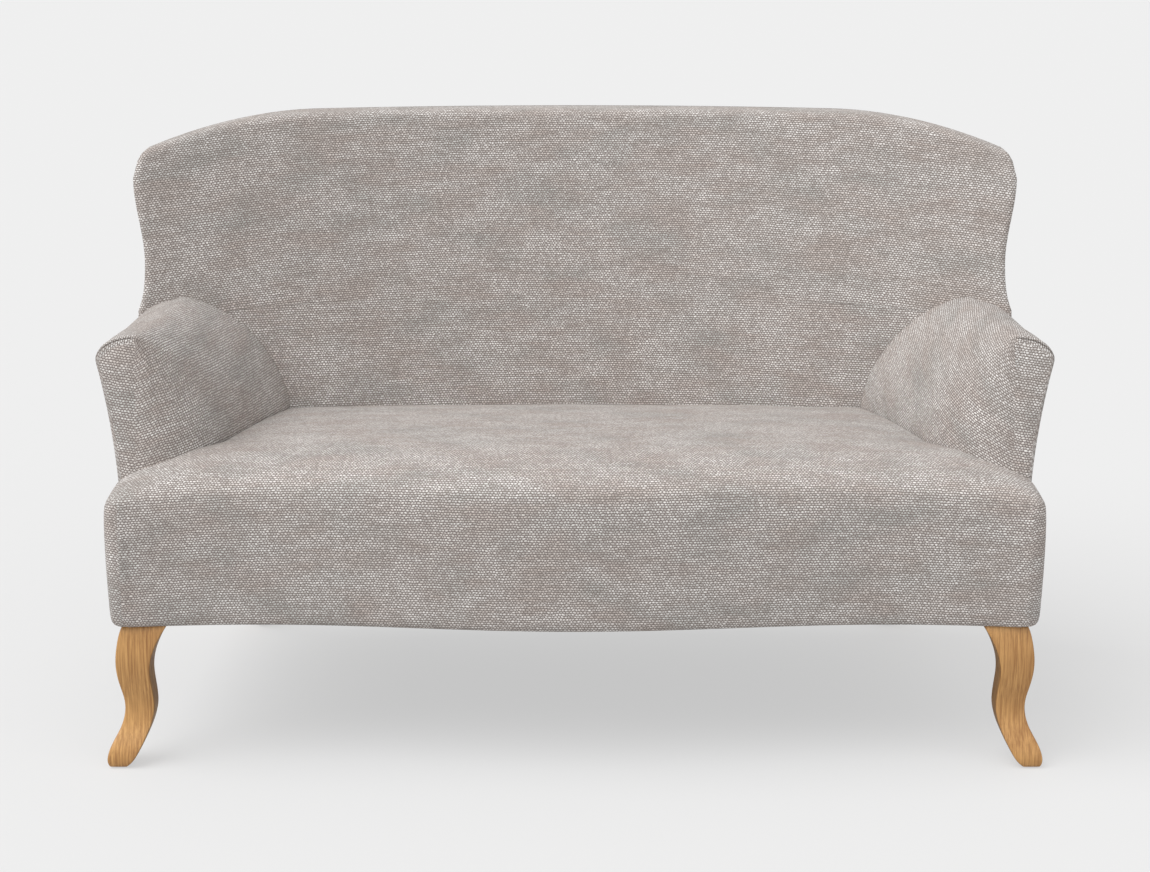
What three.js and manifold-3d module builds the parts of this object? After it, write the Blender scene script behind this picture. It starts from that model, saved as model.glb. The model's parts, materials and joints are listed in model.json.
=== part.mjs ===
// High back settee: a bowed sprung seat, two flared arms, a curved raked back and four oak legs.
// Lengths are in millimetres and +Z is up. The front faces -Y, and the origin is on the floor
// under the middle of the settee. Left is -X, as the viewer sees it from the front.
import * as THREE from 'three';
import { mergeVertices } from 'three/addons/utils/BufferGeometryUtils.js';
import Module from 'manifold-3d';

const wasm = await Module();
wasm.setup();

// Overall size: half the width, the heights of the back, arms and legs, and the rear at the feet
const overall = { halfWidth: 706, height: 903, armHeight: 622, legHeight: 215, rear: 660 };
const legHeight = overall.legHeight;

// Clearances and cloth
const fit = { clear: 0.3, layer: 0.8, overrun: 30 };
const cloth = { thickness: 2 };

// How far things stand in from the widest line, and forward of the rear at the feet
const sideSet = {
  seat: 27,
  armBase: 44.5,
  armTop: 6,
  armCrown: 66,
  wing: 7,
  waist: 17.5,
  corner: 15,
  levelTop: 276,
  legTop: 49.5,
  rearLeg: 146,
  rearFoot: 153,
  frontBolt: 71,
  blockOuter: 58,
  blockInner: 118,
  rearBlockInner: 176,
  pad: 112,
  spring: 331,
  strap: 246,
};
const rearSet = { seat: 115, face: 128, arm: 100, side: 35 };
const atSide = (set) => overall.halfWidth - set;
const atRear = (set) => overall.rear - set;

// How far things stand below the top of the back and below the top of the arms
const topSet = { corner: 53, spring: 87 };
const armSet = { shoulder: 30, wing: 18, frame: 47 };
const waistShare = 0.2629;
const postTopShare = 0.846;

// Seat: the top rises from a square front border to a soft crown, and an ear stands before each arm
const seat = {
  halfWidth: atSide(sideSet.seat),
  border: 191,
  rise: 56,
  sideDrop: 12,
  roundReach: 150,
  rearReach: 440,
  depth: atRear(rearSet.seat),
  bowMean: -5.5,
  bowDepth: 16.5,
  earDepth: 72,
  wrap: 11,
};
const bowWaveShare = 0.65156;
const roundPower = 2.2;
const seatEdge = legHeight + seat.border;

// Arms: the outer face flares, the top is a soft dome and the inner face slopes to the seat
const arm = {
  front: 67,
  crown: atSide(sideSet.armCrown),
  height: overall.armHeight,
  shoulder: overall.armHeight - armSet.shoulder,
  baseHalfWidth: atSide(sideSet.armBase),
  topHalfWidth: atSide(sideSet.armTop),
  flareRise: 88,
  innerRise: 24,
  innerReach: 87,
  noseDepth: 110,
  rear: atRear(rearSet.arm),
  edgeRound: 6,
};
const flareFrom = legHeight + arm.flareRise;
const innerFrom = seatEdge + arm.innerRise;
const armLeanShare = 0.187;
const armTaperShare = 0.0407;
const armSpreadShare = 0.226;
const flarePower = 2;
const innerPower = 1.7;

// Back: raked and curved in plan, with an arched top line and a waist above the arms
const back = {
  halfWidth: overall.halfWidth,
  waist: atSide(sideSet.waist),
  wingFrom: overall.armHeight - armSet.wing,
  spring: overall.height - topSet.spring,
  cornerHeight: overall.height - topSet.corner,
  cornerHalfWidth: atSide(sideSet.corner),
  height: overall.height,
  levelHalfWidth: atSide(sideSet.levelTop),
  faceAtSeat: atRear(rearSet.face),
  seatRise: 27,
  faceRadius: 1570,
  rearAtFoot: overall.rear,
  sideDepth: atRear(rearSet.side),
  rearRadiusLow: 6000,
  rearRadiusHigh: 1700,
  edgeRound: 30,
};
const waistHeight = overall.armHeight + waistShare * (back.spring - overall.armHeight);
const seatLevel = seatEdge + back.seatRise;
const faceRakeShare = 0.243;
const rearRakeShare = 0.128;

// Timber frame
const frame = {
  railHeight: 111,
  frontRail: 26,
  backRail: 32,
  sideRail: 28,
  armDepth: 44,
  postSetback: 51,
  postWidth: 40,
  armRail: 44,
  armLowerRail: 36,
  backPost: 45,
  topRail: 70,
  topRailDrop: 30,
  lowerRail: 60,
  stile: 50,
  centreRail: 40,
  centreRailHeight: 71,
  railLift: 4,
  hemLift: 15,
};
const railBottom = legHeight + frame.railLift;
const railTop = railBottom + frame.railHeight;
const hem = railTop + frame.hemLift;
const frameArmTop = overall.armHeight - armSet.frame;
const block = { height: 80, rearDepth: 58 };

// Springs, webbing and linings
const spring = { count: 6, wire: 3.8, swing: 26, straight: 22 };
const springBends = 8;
const springStepsPerBend = 4;
const clip = { width: 18, length: 14, sheet: 1.8 };
const pad = { thickness: 2, frontSet: 17 };
const webbing = { width: 50, thickness: 1.5, uprights: 5, endSet: 12 };
const strapLevelShares = [0.14, 0.46, 0.68];
const lining = { thickness: 1.5 };
const dust = { thickness: 1.5, inset: 5 };

// Legs, sawn from the square in two directions, and their fixings
const leg = { frontSet: 18, topDepth: 56, edgeRound: 7 };
const rearLeg = { topSide: 46, footSide: 30, fromRear: 36, sweep: 63, sweepPower: 1.4, sections: 7 };
const bolt = { radius: 4, intoLeg: 32, intoBlock: 45, frontY: 47.5, railGap: 5 };
const glide = { radius: 7, height: 3, sides: 16 };
const boltSides = 10;
const cornerSteps = 2;

// The front leg's outline as seen from the front: height as a share of the leg height, then the
// outer and inner edges as shares of the leg height measured outwards from the top outer corner
const frontLegShares = [
  [1, 0, -0.309],
  [0.955, 0.027, -0.277],
  [0.9, 0.043, -0.24],
  [0.83, 0.054, -0.203],
  [0.76, 0.061, -0.174],
  [0.685, 0.0625, -0.1545],
  [0.61, 0.056, -0.153],
  [0.535, 0.043, -0.161],
  [0.46, 0.026, -0.169],
  [0.385, 0.021, -0.173],
  [0.315, 0.032, -0.163],
  [0.25, 0.054, -0.1435],
  [0.19, 0.0875, -0.119],
  [0.13, 0.12, -0.092],
  [0.065, 0.136, -0.056],
  [0.03, 0.13, -0.028],
  [0, 0.118, 0.012],
];

// Derived levels
const deepLow = legHeight - fit.overrun;
const springLevel = railTop + fit.clear + spring.wire / 2;
const padLevel = springLevel + spring.wire / 2 + fit.clear + clip.sheet + fit.clear;
const foamLevel = padLevel + pad.thickness + fit.clear;
const skinDepth = cloth.thickness + fit.layer;
const armZoneDepth = skinDepth + frame.armDepth + fit.layer + lining.thickness + fit.layer;
const stackDepth = [
  skinDepth, frame.backRail, webbing.thickness, lining.thickness, 3 * fit.layer, 2 * fit.clear,
].reduce((sum, depth) => sum + depth, 0);
const railFace = seat.wrap + skinDepth + fit.layer;

// Materials
function finish(color, roughness, metalness = 0) {
  return new THREE.MeshStandardMaterial({ color, roughness, metalness });
}

const palette = {
  fabric: () => finish('#aea7a2', 0.95),
  foam: () => finish('#e6dfc8', 0.9),
  felt: () => finish('#8d7f6b', 1),
  lining: () => finish('#cbbd9c', 0.95),
  dustCloth: () => finish('#2a2a2b', 0.95),
  webbing: () => finish('#b9a57c', 0.9),
  beech: () => finish('#d2ab7c', 0.7),
  oak: () => finish('#c8965a', 0.5),
  steel: () => finish('#8c8f93', 0.4, 0.9),
  nylon: () => finish('#3a3430', 0.5),
};

// Small sums
const clamp = (value) => Math.min(Math.max(value, 0), 1);
const mix = (from, to, share) => from + (to - from) * share;
const smooth = (share) => clamp(share) ** 2 * (3 - 2 * clamp(share));
const evenShares = (count) => Array.from({ length: count + 1 }, (_, index) => index / count);
const mirrored = (shares) => [...shares.slice(1).map((share) => -share).reverse(), ...shares];
const bell = (distance, reach, power) => (1 - (1 - clamp(distance / reach)) ** power) ** (1 / power);

// Solids
function toSolid(geometry) {
  const bare = new THREE.BufferGeometry();
  const source = geometry.clone();
  source.deleteAttribute('normal');
  source.deleteAttribute('uv');
  bare.copy(mergeVertices(source));
  const solid = new wasm.Manifold(new wasm.Mesh({
    numProp: 3,
    vertProperties: new Float32Array(bare.attributes.position.array),
    triVerts: new Uint32Array(bare.index.array),
  }));
  return solid;
}

function toGeometry(solid) {
  const { vertProperties, triVerts, numProp } = solid.getMesh();
  const positions = [];
  for (let start = 0; start < vertProperties.length; start += numProp) {
    positions.push(vertProperties[start], vertProperties[start + 1], vertProperties[start + 2]);
  }
  const geometry = new THREE.BufferGeometry();
  geometry.setAttribute('position', new THREE.Float32BufferAttribute(positions, 3));
  geometry.setIndex(Array.from(triVerts));
  geometry.computeVertexNormals();
  return geometry;
}

function signedVolume(points, faces) {
  const [a, b, c] = [new THREE.Vector3(), new THREE.Vector3(), new THREE.Vector3()];
  return faces.reduce((sum, face) => {
    a.fromArray(points[face[0]]);
    b.fromArray(points[face[1]]);
    c.fromArray(points[face[2]]);
    return sum + a.dot(b.cross(c));
  }, 0);
}

function faceted(points, faces) {
  const outward = signedVolume(points, faces) > 0;
  const geometry = new THREE.BufferGeometry();
  geometry.setAttribute('position', new THREE.Float32BufferAttribute(points.flat(), 3));
  geometry.setIndex(faces.flatMap(([a, b, c]) => (outward ? [a, b, c] : [a, c, b])));
  return toSolid(geometry);
}

// A closed body between two skins with the same columns and rows: place(column, row, skin) gives
// a point, with skin 0 on the first skin and 1 on the second
function betweenSkins(columns, rows, place) {
  const across = columns.length;
  const index = (i, j, skin) => (skin * rows.length + j) * across + i;
  const skinPoints = (skin) => rows.flatMap((row) => columns.map((column) => place(column, row, skin)));
  const points = [...skinPoints(0), ...skinPoints(1)];
  const faces = [];
  const quad = (a, b, c, d) => faces.push([a, b, c], [a, c, d]);
  for (let j = 0; j < rows.length - 1; j += 1) {
    for (let i = 0; i < across - 1; i += 1) {
      quad(index(i, j, 0), index(i + 1, j, 0), index(i + 1, j + 1, 0), index(i, j + 1, 0));
      quad(index(i, j, 1), index(i, j + 1, 1), index(i + 1, j + 1, 1), index(i + 1, j, 1));
    }
  }
  const rim = [];
  for (let i = 0; i < across - 1; i += 1) rim.push([i, 0]);
  for (let j = 0; j < rows.length - 1; j += 1) rim.push([across - 1, j]);
  for (let i = across - 1; i > 0; i -= 1) rim.push([i, rows.length - 1]);
  for (let j = rows.length - 1; j > 0; j -= 1) rim.push([0, j]);
  rim.forEach(([i, j], at) => {
    const [nextI, nextJ] = rim[(at + 1) % rim.length];
    quad(index(i, j, 0), index(i, j, 1), index(nextI, nextJ, 1), index(nextI, nextJ, 0));
  });
  return faceted(points, faces);
}

// A closed body through a row of sections that all have the same number of points
function throughSections(sections) {
  const around = sections[0].length;
  const points = sections.flat();
  const faces = [];
  for (let k = 0; k < sections.length - 1; k += 1) {
    for (let i = 0; i < around; i += 1) {
      const next = (i + 1) % around;
      faces.push([k * around + i, k * around + next, (k + 1) * around + next]);
      faces.push([k * around + i, (k + 1) * around + next, (k + 1) * around + i]);
    }
  }
  const last = (sections.length - 1) * around;
  capFaces(sections[0]).forEach((face) => faces.push(face.reverse()));
  capFaces(sections[sections.length - 1]).forEach((face) => faces.push(face.map((at) => at + last)));
  return faceted(points, faces);
}

// Triangles that fill a section from its lowest pair of points upwards, turning as its outline does
function capFaces(section) {
  const faces = [];
  let first = 0;
  let last = section.length - 1;
  while (last - first > 1) {
    const forward = section[first + 1][2] <= section[last - 1][2];
    faces.push([first, forward ? first + 1 : last - 1, last]);
    if (forward) first += 1;
    else last -= 1;
  }
  return faces;
}

function box(x0, x1, y0, y1, z0, z1) {
  const geometry = new THREE.BoxGeometry(Math.abs(x1 - x0), y1 - y0, z1 - z0);
  geometry.translate((x0 + x1) / 2, (y0 + y1) / 2, (z0 + z1) / 2);
  return toSolid(geometry);
}

function rod(radius, from, to, sides) {
  const start = new THREE.Vector3(...from);
  const reach = new THREE.Vector3(...to).sub(start);
  const geometry = new THREE.CylinderGeometry(radius, radius, reach.length(), sides);
  geometry.translate(0, reach.length() / 2, 0);
  const turn = new THREE.Quaternion();
  turn.setFromUnitVectors(THREE.Object3D.DEFAULT_UP, reach.normalize());
  geometry.applyQuaternion(turn);
  geometry.translate(...from);
  return toSolid(geometry);
}

const joined = (solids) => solids.reduce((whole, solid) => whole.add(solid));
const cut = (solid, tools) => tools.reduce((left, tool) => left.subtract(tool), solid);
const bothSides = (make) => ({ left: make(-1), right: make(1) });

// Seat surface
const bowHalfWave = bowWaveShare * overall.halfWidth;
const seatFront = (x) => seat.bowMean - seat.bowDepth * Math.cos((Math.PI * x) / bowHalfWave);

function seatTop(x, y, inset) {
  const front = bell(y - seatFront(x) - inset, seat.roundReach, roundPower);
  const side = bell(seat.halfWidth - inset - Math.abs(x), seat.roundReach, roundPower);
  const rear = bell(seat.depth - y, seat.rearReach, roundPower);
  return seatEdge + seat.rise * front * side * rear - seat.sideDrop * (x / seat.halfWidth) ** 2 - inset;
}

const bandShares = [0, 0.03, 0.1, 0.25, 0.5];
const seatBodyShares = [0, 0.24, 0.46, 0.66, 0.82, 0.93, 1];

// Columns across the seat: the middle ones stand at the same places at every inset
function seatColumns(halfWidth, shares) {
  const flat = seat.halfWidth - seat.roundReach;
  return mirrored([...evenShares(6).map((share) => share * flat),
    ...shares.map((share) => mix(halfWidth, flat, share)).reverse()]);
}

function seatSolid(inset, bottom) {
  const columns = seatColumns(seat.halfWidth - inset, bandShares);
  const bandEnd = (x) => seatFront(x) + seat.roundReach;
  const bandRows = bandShares.map((share) => (x) => mix(seatFront(x) + inset, bandEnd(x), share));
  const bodyRows = seatBodyShares.map((share) => (x) => mix(bandEnd(x), seat.depth, share));
  const place = (x, row, skin) => [x, row(x), skin ? bottom : seatTop(x, row(x), inset)];
  return betweenSkins(columns, [...bandRows, ...bodyRows], place);
}

// The room beside the arms, behind the ears
function earNotches(inset) {
  const far = seat.halfWidth + fit.overrun;
  const low = legHeight - 2 * fit.overrun;
  const near = armBase(seat.depth) - fit.overrun;
  return [-1, 1].flatMap((side) => [
    box(side * arm.crown, side * far, seat.earDepth - inset, seat.depth + fit.overrun, low, arm.height),
    box(side * near, side * far, arm.front + arm.noseDepth, seat.depth + fit.overrun, low, arm.height),
  ]);
}

const seatBody = (inset, bottom) => cut(seatSolid(inset, bottom), earNotches(inset));

// Arm surface
const armBase = (y) => arm.baseHalfWidth - armTaperShare * (y - arm.front);
const sideTop = atSide(sideSet.wing);
const armLean = (z) => armLeanShare * Math.max(0, z - seatEdge);

// The top edge runs in one straight line from the arm's front to the back
const armTopEdge = (y) => mix(arm.topHalfWidth, sideTop, clamp((y - arm.front) / (arm.rear - arm.front)));

// The flare in straight steps between the same heights for every layer
const seatShare = (seatEdge - flareFrom) / (arm.shoulder - flareFrom);
const sideBreakShares = [0, seatShare, 0.58, 0.8, 1];
const sideBreaks = sideBreakShares.map((share) => mix(flareFrom, arm.shoulder, share));

function flareShare(z) {
  const share = clamp((z - flareFrom) / (arm.shoulder - flareFrom));
  const at = Math.max(1, sideBreakShares.findIndex((edge) => edge >= share));
  const [low, high] = [sideBreakShares[at - 1], sideBreakShares[at]];
  return mix(low ** flarePower, high ** flarePower, (share - low) / (high - low));
}

const armOuter = (y, z) => mix(armBase(y), armTopEdge(y), flareShare(z));

// Heights from low to high that take in the same breaks of the flare on every layer
function sideLevels(low, high) {
  return [low, ...sideBreaks.filter((z) => z > low + fit.layer && z < high - fit.layer), high];
}

const domeSteps = 4;
const slopeSteps = 7;
const quarterTurns = (count) => evenShares(count).map((share) => (share * Math.PI) / 2);

function armSection(y, inset, pinch, low) {
  const at = (x, z) => [x, y + armLean(z), z];
  const trim = inset + pinch;
  const into = Math.max(y - arm.front - inset, arm.edgeRound / 4);
  const nose = bell(into, arm.noseDepth - inset, roundPower);
  const reach = Math.max(arm.innerReach + armSpreadShare * (y - arm.front) - inset, 0) * nose;
  const outer = [low, ...sideBreaks.slice(0, -1), arm.shoulder - trim]
    .map((z) => at(armOuter(y + armLean(z), z) - trim, z));
  const shoulderX = armOuter(y + armLean(arm.shoulder), arm.shoulder) - trim;
  const top = quarterTurns(domeSteps).slice(1).map((turn) => at(
    mix(arm.crown, shoulderX, Math.cos(turn)),
    mix(arm.shoulder, arm.height, Math.sin(turn)) - trim,
  ));
  const inner = quarterTurns(slopeSteps).slice(1).map((turn) => at(
    arm.crown - reach * Math.sin(turn) ** (2 / innerPower),
    mix(innerFrom, arm.height - trim, Math.cos(turn) ** (2 / innerPower)),
  ));
  return [...outer, ...top, ...inner, at(arm.crown - reach, seatEdge), at(arm.crown - reach, low)];
}

const noseShares = [0.04, 0.14, 0.34, 0.66, 1];
const armBodyShares = [0.33, 0.66, 1];

function armSolid(side, inset, rear) {
  const start = arm.front + inset;
  const noseEnd = arm.front + arm.noseDepth;
  const stations = [
    ...noseShares.map((share) => mix(start, noseEnd, share)),
    ...armBodyShares.map((share) => mix(noseEnd, rear, share)),
  ];
  const sections = [armSection(start, inset, arm.edgeRound, deepLow)];
  stations.forEach((y) => sections.push(armSection(y, inset, 0, deepLow)));
  return throughSections(sections.map((section) => section.map(([x, y, z]) => [side * x, y, z])));
}

// Back surface
function backHalfWidth(z) {
  if (z <= back.wingFrom) return armOuter(back.sideDepth, z);
  if (z <= waistHeight) {
    return mix(sideTop, back.waist, smooth((z - back.wingFrom) / (waistHeight - back.wingFrom)));
  }
  if (z <= back.spring) {
    return mix(back.waist, back.halfWidth, smooth((z - waistHeight) / (back.spring - waistHeight)));
  }
  const past = (z - back.spring) / (back.cornerHeight - back.spring);
  return mix(back.halfWidth, back.cornerHalfWidth, past ** 2);
}

function backTopLine(x) {
  const past = Math.max(0, Math.abs(x) - back.levelHalfWidth) / (back.cornerHalfWidth - back.levelHalfWidth);
  return back.height - (back.height - back.cornerHeight) * past ** 2;
}

const backFace = (x, z) => back.faceAtSeat + faceRakeShare * (z - seatLevel) - x ** 2 / (2 * back.faceRadius);

function backRear(x, z) {
  const up = (z - legHeight) / (back.cornerHeight - legHeight);
  const curve = mix(1 / back.rearRadiusLow, 1 / back.rearRadiusHigh, up);
  return back.rearAtFoot + rearRakeShare * (z - legHeight) - (curve * x ** 2) / 2;
}

// Columns across the back: those below the fixed share stand at the same places at every height
const fixedShare = 0.75;
const coarseAcross = mirrored([0, 0.15, 0.3, 0.45, 0.6, fixedShare, 0.875, 1]);
const pastShare = 1.3;
const pastAcross = [-pastShare, ...coarseAcross, pastShare];
const fineAcross = mirrored([0, 0.15, 0.3, 0.45, 0.6, fixedShare, 0.875, 0.957, 0.987, 1]);

function acrossBack(share, halfWidth) {
  const fixed = fixedShare * back.halfWidth;
  const size = Math.abs(share);
  if (size <= fixedShare) return share * back.halfWidth;
  return Math.sign(share) * mix(fixed, halfWidth, (size - fixedShare) / (1 - fixedShare));
}

const halfWay = (low, high) => [low, (low + high) / 2];
const flareLevels = sideBreaks.slice(0, -1);
const postTop = mix(waistHeight, back.spring, postTopShare);
const wingLevels = [
  arm.shoulder, ...halfWay(back.wingFrom, waistHeight), ...halfWay(waistHeight, back.spring), postTop,
];
const cornerLevels = [0, 0.55, 0.85, 1].map((share) => mix(back.spring, back.cornerHeight, share));
const coverLevels = [hem, ...flareLevels.slice(2), ...wingLevels, ...cornerLevels];
const outsideLevels = [legHeight, ...flareLevels, ...wingLevels, back.spring, back.cornerHeight];

// A point of the back at a share across, and at the height that a level at its side has there
function backPlan(across, level, low, inset) {
  const x = acrossBack(across, backHalfWidth(level) - inset);
  const up = (level - low) / (back.cornerHeight - low);
  return [x, mix(low + Math.min(inset, 0), backTopLine(x) - inset, up)];
}

function backSolid(inset, rearReach) {
  return betweenSkins(fineAcross, coverLevels, (across, level, skin) => {
    const [x, z] = backPlan(across, level, hem, inset);
    if (skin) return [x, backRear(x, z) + rearReach, z];
    const fromSide = (1 - Math.abs(across)) * back.halfWidth;
    const fromTop = (back.height - hem) * ((back.cornerHeight - level) / (back.cornerHeight - hem));
    const fullness = bell(fromSide, back.edgeRound, 2) * bell(fromTop, back.edgeRound, 2);
    return [x, backFace(x, z) + inset + back.edgeRound * (1 - fullness), z];
  });
}

// A layer that follows the outside back, at two depths in front of it
function backLayer(columns, rows, plan, nearDepth, farDepth) {
  return betweenSkins(columns, rows, (column, row, skin) => {
    const [x, z] = plan(column, row);
    return [x, backRear(x, z) - (skin ? nearDepth : farDepth), z];
  });
}

// A layer that follows the flared side, at two depths inside it
function sideLayer(side, steps, rows, front, rear, nearDepth, farDepth) {
  return betweenSkins(evenShares(steps), rows, (share, z, skin) => {
    const y = mix(front(z), rear(z), share);
    return [side * (armOuter(y, z) - (skin ? nearDepth : farDepth)), y, z];
  });
}

// Whole envelopes that the pieces are cut from and against
const below = (z) => box(-back.halfWidth - fit.overrun, back.halfWidth + fit.overrun,
  -seat.depth, back.rearAtFoot + back.halfWidth, -legHeight, z);
const backWhole = backSolid(-fit.clear, fit.clear);
const armWhole = bothSides((side) => armSolid(side, -fit.layer, arm.rear));
const postFront = (z) => backRear(backHalfWidth(z), z) - skinDepth - frame.backRail - fit.clear;
const armPostFront = () => arm.front + frame.postSetback;

function armZone(side, grow) {
  const rows = sideLevels(deepLow, frameArmTop + grow);
  const far = back.rearAtFoot + 2 * fit.overrun;
  return sideLayer(side, 4, rows, () => armPostFront() - grow, () => far, -fit.overrun, armZoneDepth);
}

function panelZone(side, grow) {
  const rows = sideLevels(deepLow, frameArmTop + grow);
  const far = back.rearAtFoot + 2 * fit.overrun;
  const front = (z) => arm.front + arm.edgeRound + armLean(z);
  return sideLayer(side, 4, rows, front, () => far, -fit.overrun, skinDepth);
}

const outsidePlan = (across, level) => backPlan(across, level, legHeight, skinDepth + fit.clear);
const outsideFar = cloth.thickness + fit.clear;
const outsideZone = backLayer(pastAcross, outsideLevels, outsidePlan, -fit.overrun, outsideFar);
const armZones = bothSides((side) => armZone(side, fit.clear));
const panelZones = bothSides((side) => panelZone(side, fit.clear));

// Seat pieces
function seatCover() {
  const shell = seatBody(0, legHeight).subtract(seatBody(cloth.thickness, deepLow));
  return cut(shell, [armWhole.left, armWhole.right, backWhole]);
}

function seatFoam() {
  const whole = seatBody(cloth.thickness + fit.clear, deepLow);
  return cut(whole, [armWhole.left, armWhole.right, backWhole, below(foamLevel)]);
}

function borderPadding() {
  const strip = seatBody(skinDepth, railBottom).subtract(seatSolid(skinDepth + seat.wrap, deepLow));
  const over = box(-back.halfWidth, back.halfWidth, -seat.depth, seat.depth + fit.overrun,
    foamLevel - fit.layer, back.height);
  return cut(strip, [over, armWhole.left, armWhole.right]);
}

// Timber pieces
const railShares = [0, 0.5];

function frontRail(grow) {
  const columns = seatColumns(seat.halfWidth - railFace + grow, railShares);
  return betweenSkins(columns, [railBottom - grow, railTop + grow], (x, z, skin) => [
    x, seatFront(x) + railFace - grow + skin * (frame.frontRail + 2 * grow), z]);
}

const postInset = skinDepth + frame.backPost + fit.layer;
const betweenPosts = (share, z) => acrossBack(share, backHalfWidth(z) - postInset);
const frameNear = skinDepth;
const frameFar = skinDepth + frame.backRail;

function backCrossRail(low, high, grow) {
  const rows = [low - grow, high + grow];
  const plan = (share, z) => [betweenPosts(share, z), z];
  const whole = backLayer(coarseAcross, rows, plan, frameNear - grow, frameFar + grow);
  return cut(whole, [outsideZone, backPost(-1, fit.clear), backPost(1, fit.clear)]);
}

const topRailEnd = (up) => mix(back.cornerHeight - frame.topRailDrop - frame.topRail,
  back.cornerHeight - frame.topRailDrop, up);

function backTopRail(grow) {
  const whole = backLayer(coarseAcross, evenShares(1), (share, up) => {
    const x = betweenPosts(share, topRailEnd(up));
    const top = backTopLine(x) - frame.topRailDrop;
    return [x, mix(top - frame.topRail - grow, top + grow, up)];
  }, frameNear - grow, frameFar + grow);
  return whole.subtract(outsideZone);
}

function backPost(side, grow) {
  const rows = [railBottom, ...flareLevels, ...wingLevels];
  const whole = backLayer([0, 1], rows, (share, z) => [
    side * (backHalfWidth(z) - skinDepth - share * (frame.backPost + grow)), z], frameNear, frameFar + grow);
  return whole.subtract(outsideZone);
}

const lowerCrossRail = (grow) => backCrossRail(hem, hem + frame.lowerRail, grow);

function backStile() {
  const low = hem + frame.lowerRail + fit.clear;
  const high = (x) => backTopLine(x) - frame.topRailDrop - frame.topRail - fit.clear;
  const whole = backLayer([-1, 1], evenShares(4), (share, up) => {
    const x = (share * frame.stile) / 2;
    return [x, mix(low, high(x), up)];
  }, frameNear, frameFar);
  return whole.subtract(outsideZone);
}

function sideTimber(side, low, high, front, rear, width) {
  return sideLayer(side, 2, sideLevels(low, high), front, rear, skinDepth, skinDepth + width);
}

const postBack = () => armPostFront() + frame.postWidth;
const behindPost = () => postBack() + fit.clear;
const sideRail = (side) => sideTimber(side, railBottom, railTop, behindPost, postFront, frame.sideRail);
const armPost = (side) => sideTimber(side, railBottom, frameArmTop - fit.clear, armPostFront, postBack, frame.armDepth);
const armTopRail = (side) => sideTimber(side, frameArmTop - frame.armRail, frameArmTop - fit.clear,
  behindPost, postFront, frame.armDepth);
const armLowerRail = (side) => sideTimber(side, hem, hem + frame.armLowerRail,
  behindPost, postFront, frame.armDepth);

function centreRail() {
  const half = frame.centreRail / 2;
  const front = seatFront(0) + railFace + frame.frontRail / 2;
  const rear = backRear(0, railBottom) - (frameNear + frameFar) / 2;
  const whole = box(-half, half, front, rear, railBottom, railBottom + frame.centreRailHeight);
  return cut(whole, [frontRail(fit.clear), lowBackRail(fit.clear)]);
}

// Hanger bolts that hold each leg to its block
const legTop = railBottom - fit.clear;

function legBolt(x, y, grow) {
  const [low, high] = [legTop - bolt.intoLeg - grow, legTop + bolt.intoBlock + grow];
  return rod(bolt.radius + grow, [x, y, low], [x, y, high], boltSides);
}

const frontBolt = (side, grow) => legBolt(side * atSide(sideSet.frontBolt), bolt.frontY, grow);

// The rear leg and its bolt stand before the curved back rail
const rearLegX = atSide(sideSet.rearLeg);
const rearLegLine = backRear(rearLegX, railBottom);
const rearLegY = rearLegLine - rearLeg.fromRear;
const rearBoltY = rearLegLine - frameFar - bolt.railGap - bolt.radius;
const rearBolt = (side, grow) => legBolt(side * rearLegX, rearBoltY, grow);

function frontBlock(side) {
  const [inner, outer] = [atSide(sideSet.blockInner), atSide(sideSet.blockOuter)];
  const rear = armPostFront() - fit.clear;
  const high = railBottom + block.height;
  const whole = box(side * inner, side * outer, arm.front - fit.overrun, rear, railBottom, high);
  return cut(whole, [frontRail(fit.clear), frontBolt(side, fit.clear)]);
}

function rearBlock(side) {
  const [inner, outer] = [atSide(sideSet.rearBlockInner), betweenPosts(1, railBottom)];
  const middle = backRear(inner, railBottom) - frameFar;
  const [front, rear] = [middle - block.rearDepth, middle + frame.backRail / 2];
  const high = railBottom + block.height;
  const whole = box(side * inner, side * outer, front, rear, railBottom, high);
  return cut(whole, [lowBackRail(fit.clear), backPost(side, fit.clear), rearBolt(side, fit.clear)]);
}

const lowBackRail = (grow) => backCrossRail(railBottom, railTop, grow);

// Springs, pad and webbing
const springXs = evenShares(spring.count - 1).map((share) => (2 * share - 1) * atSide(sideSet.spring));
const springEnds = (x) => [
  seatFront(x) + railFace + frame.frontRail / 2,
  backRear(x, railTop) - (frameNear + frameFar) / 2,
];

function seatSpring(x) {
  const [front, rear] = springEnds(x);
  const at = (across, y) => new THREE.Vector3(across, y, springLevel);
  const points = [at(x, front), at(x, front + spring.straight)];
  for (let bend = 0; bend < springBends; bend += 1) {
    const y = mix(front + spring.straight, rear - spring.straight, (bend + 0.5) / springBends);
    points.push(at(x + (bend % 2 ? -1 : 1) * spring.swing, y));
  }
  points.push(at(x, rear - spring.straight), at(x, rear));
  const half = spring.wire / 2;
  const section = new THREE.Shape([[-half, -half], [half, -half], [half, half], [-half, half]]
    .map(([across, up]) => new THREE.Vector2(across, up)));
  const route = new THREE.CatmullRomCurve3(points);
  const steps = springStepsPerBend * springBends;
  return toSolid(new THREE.ExtrudeGeometry(section, { steps, extrudePath: route }));
}

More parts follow.
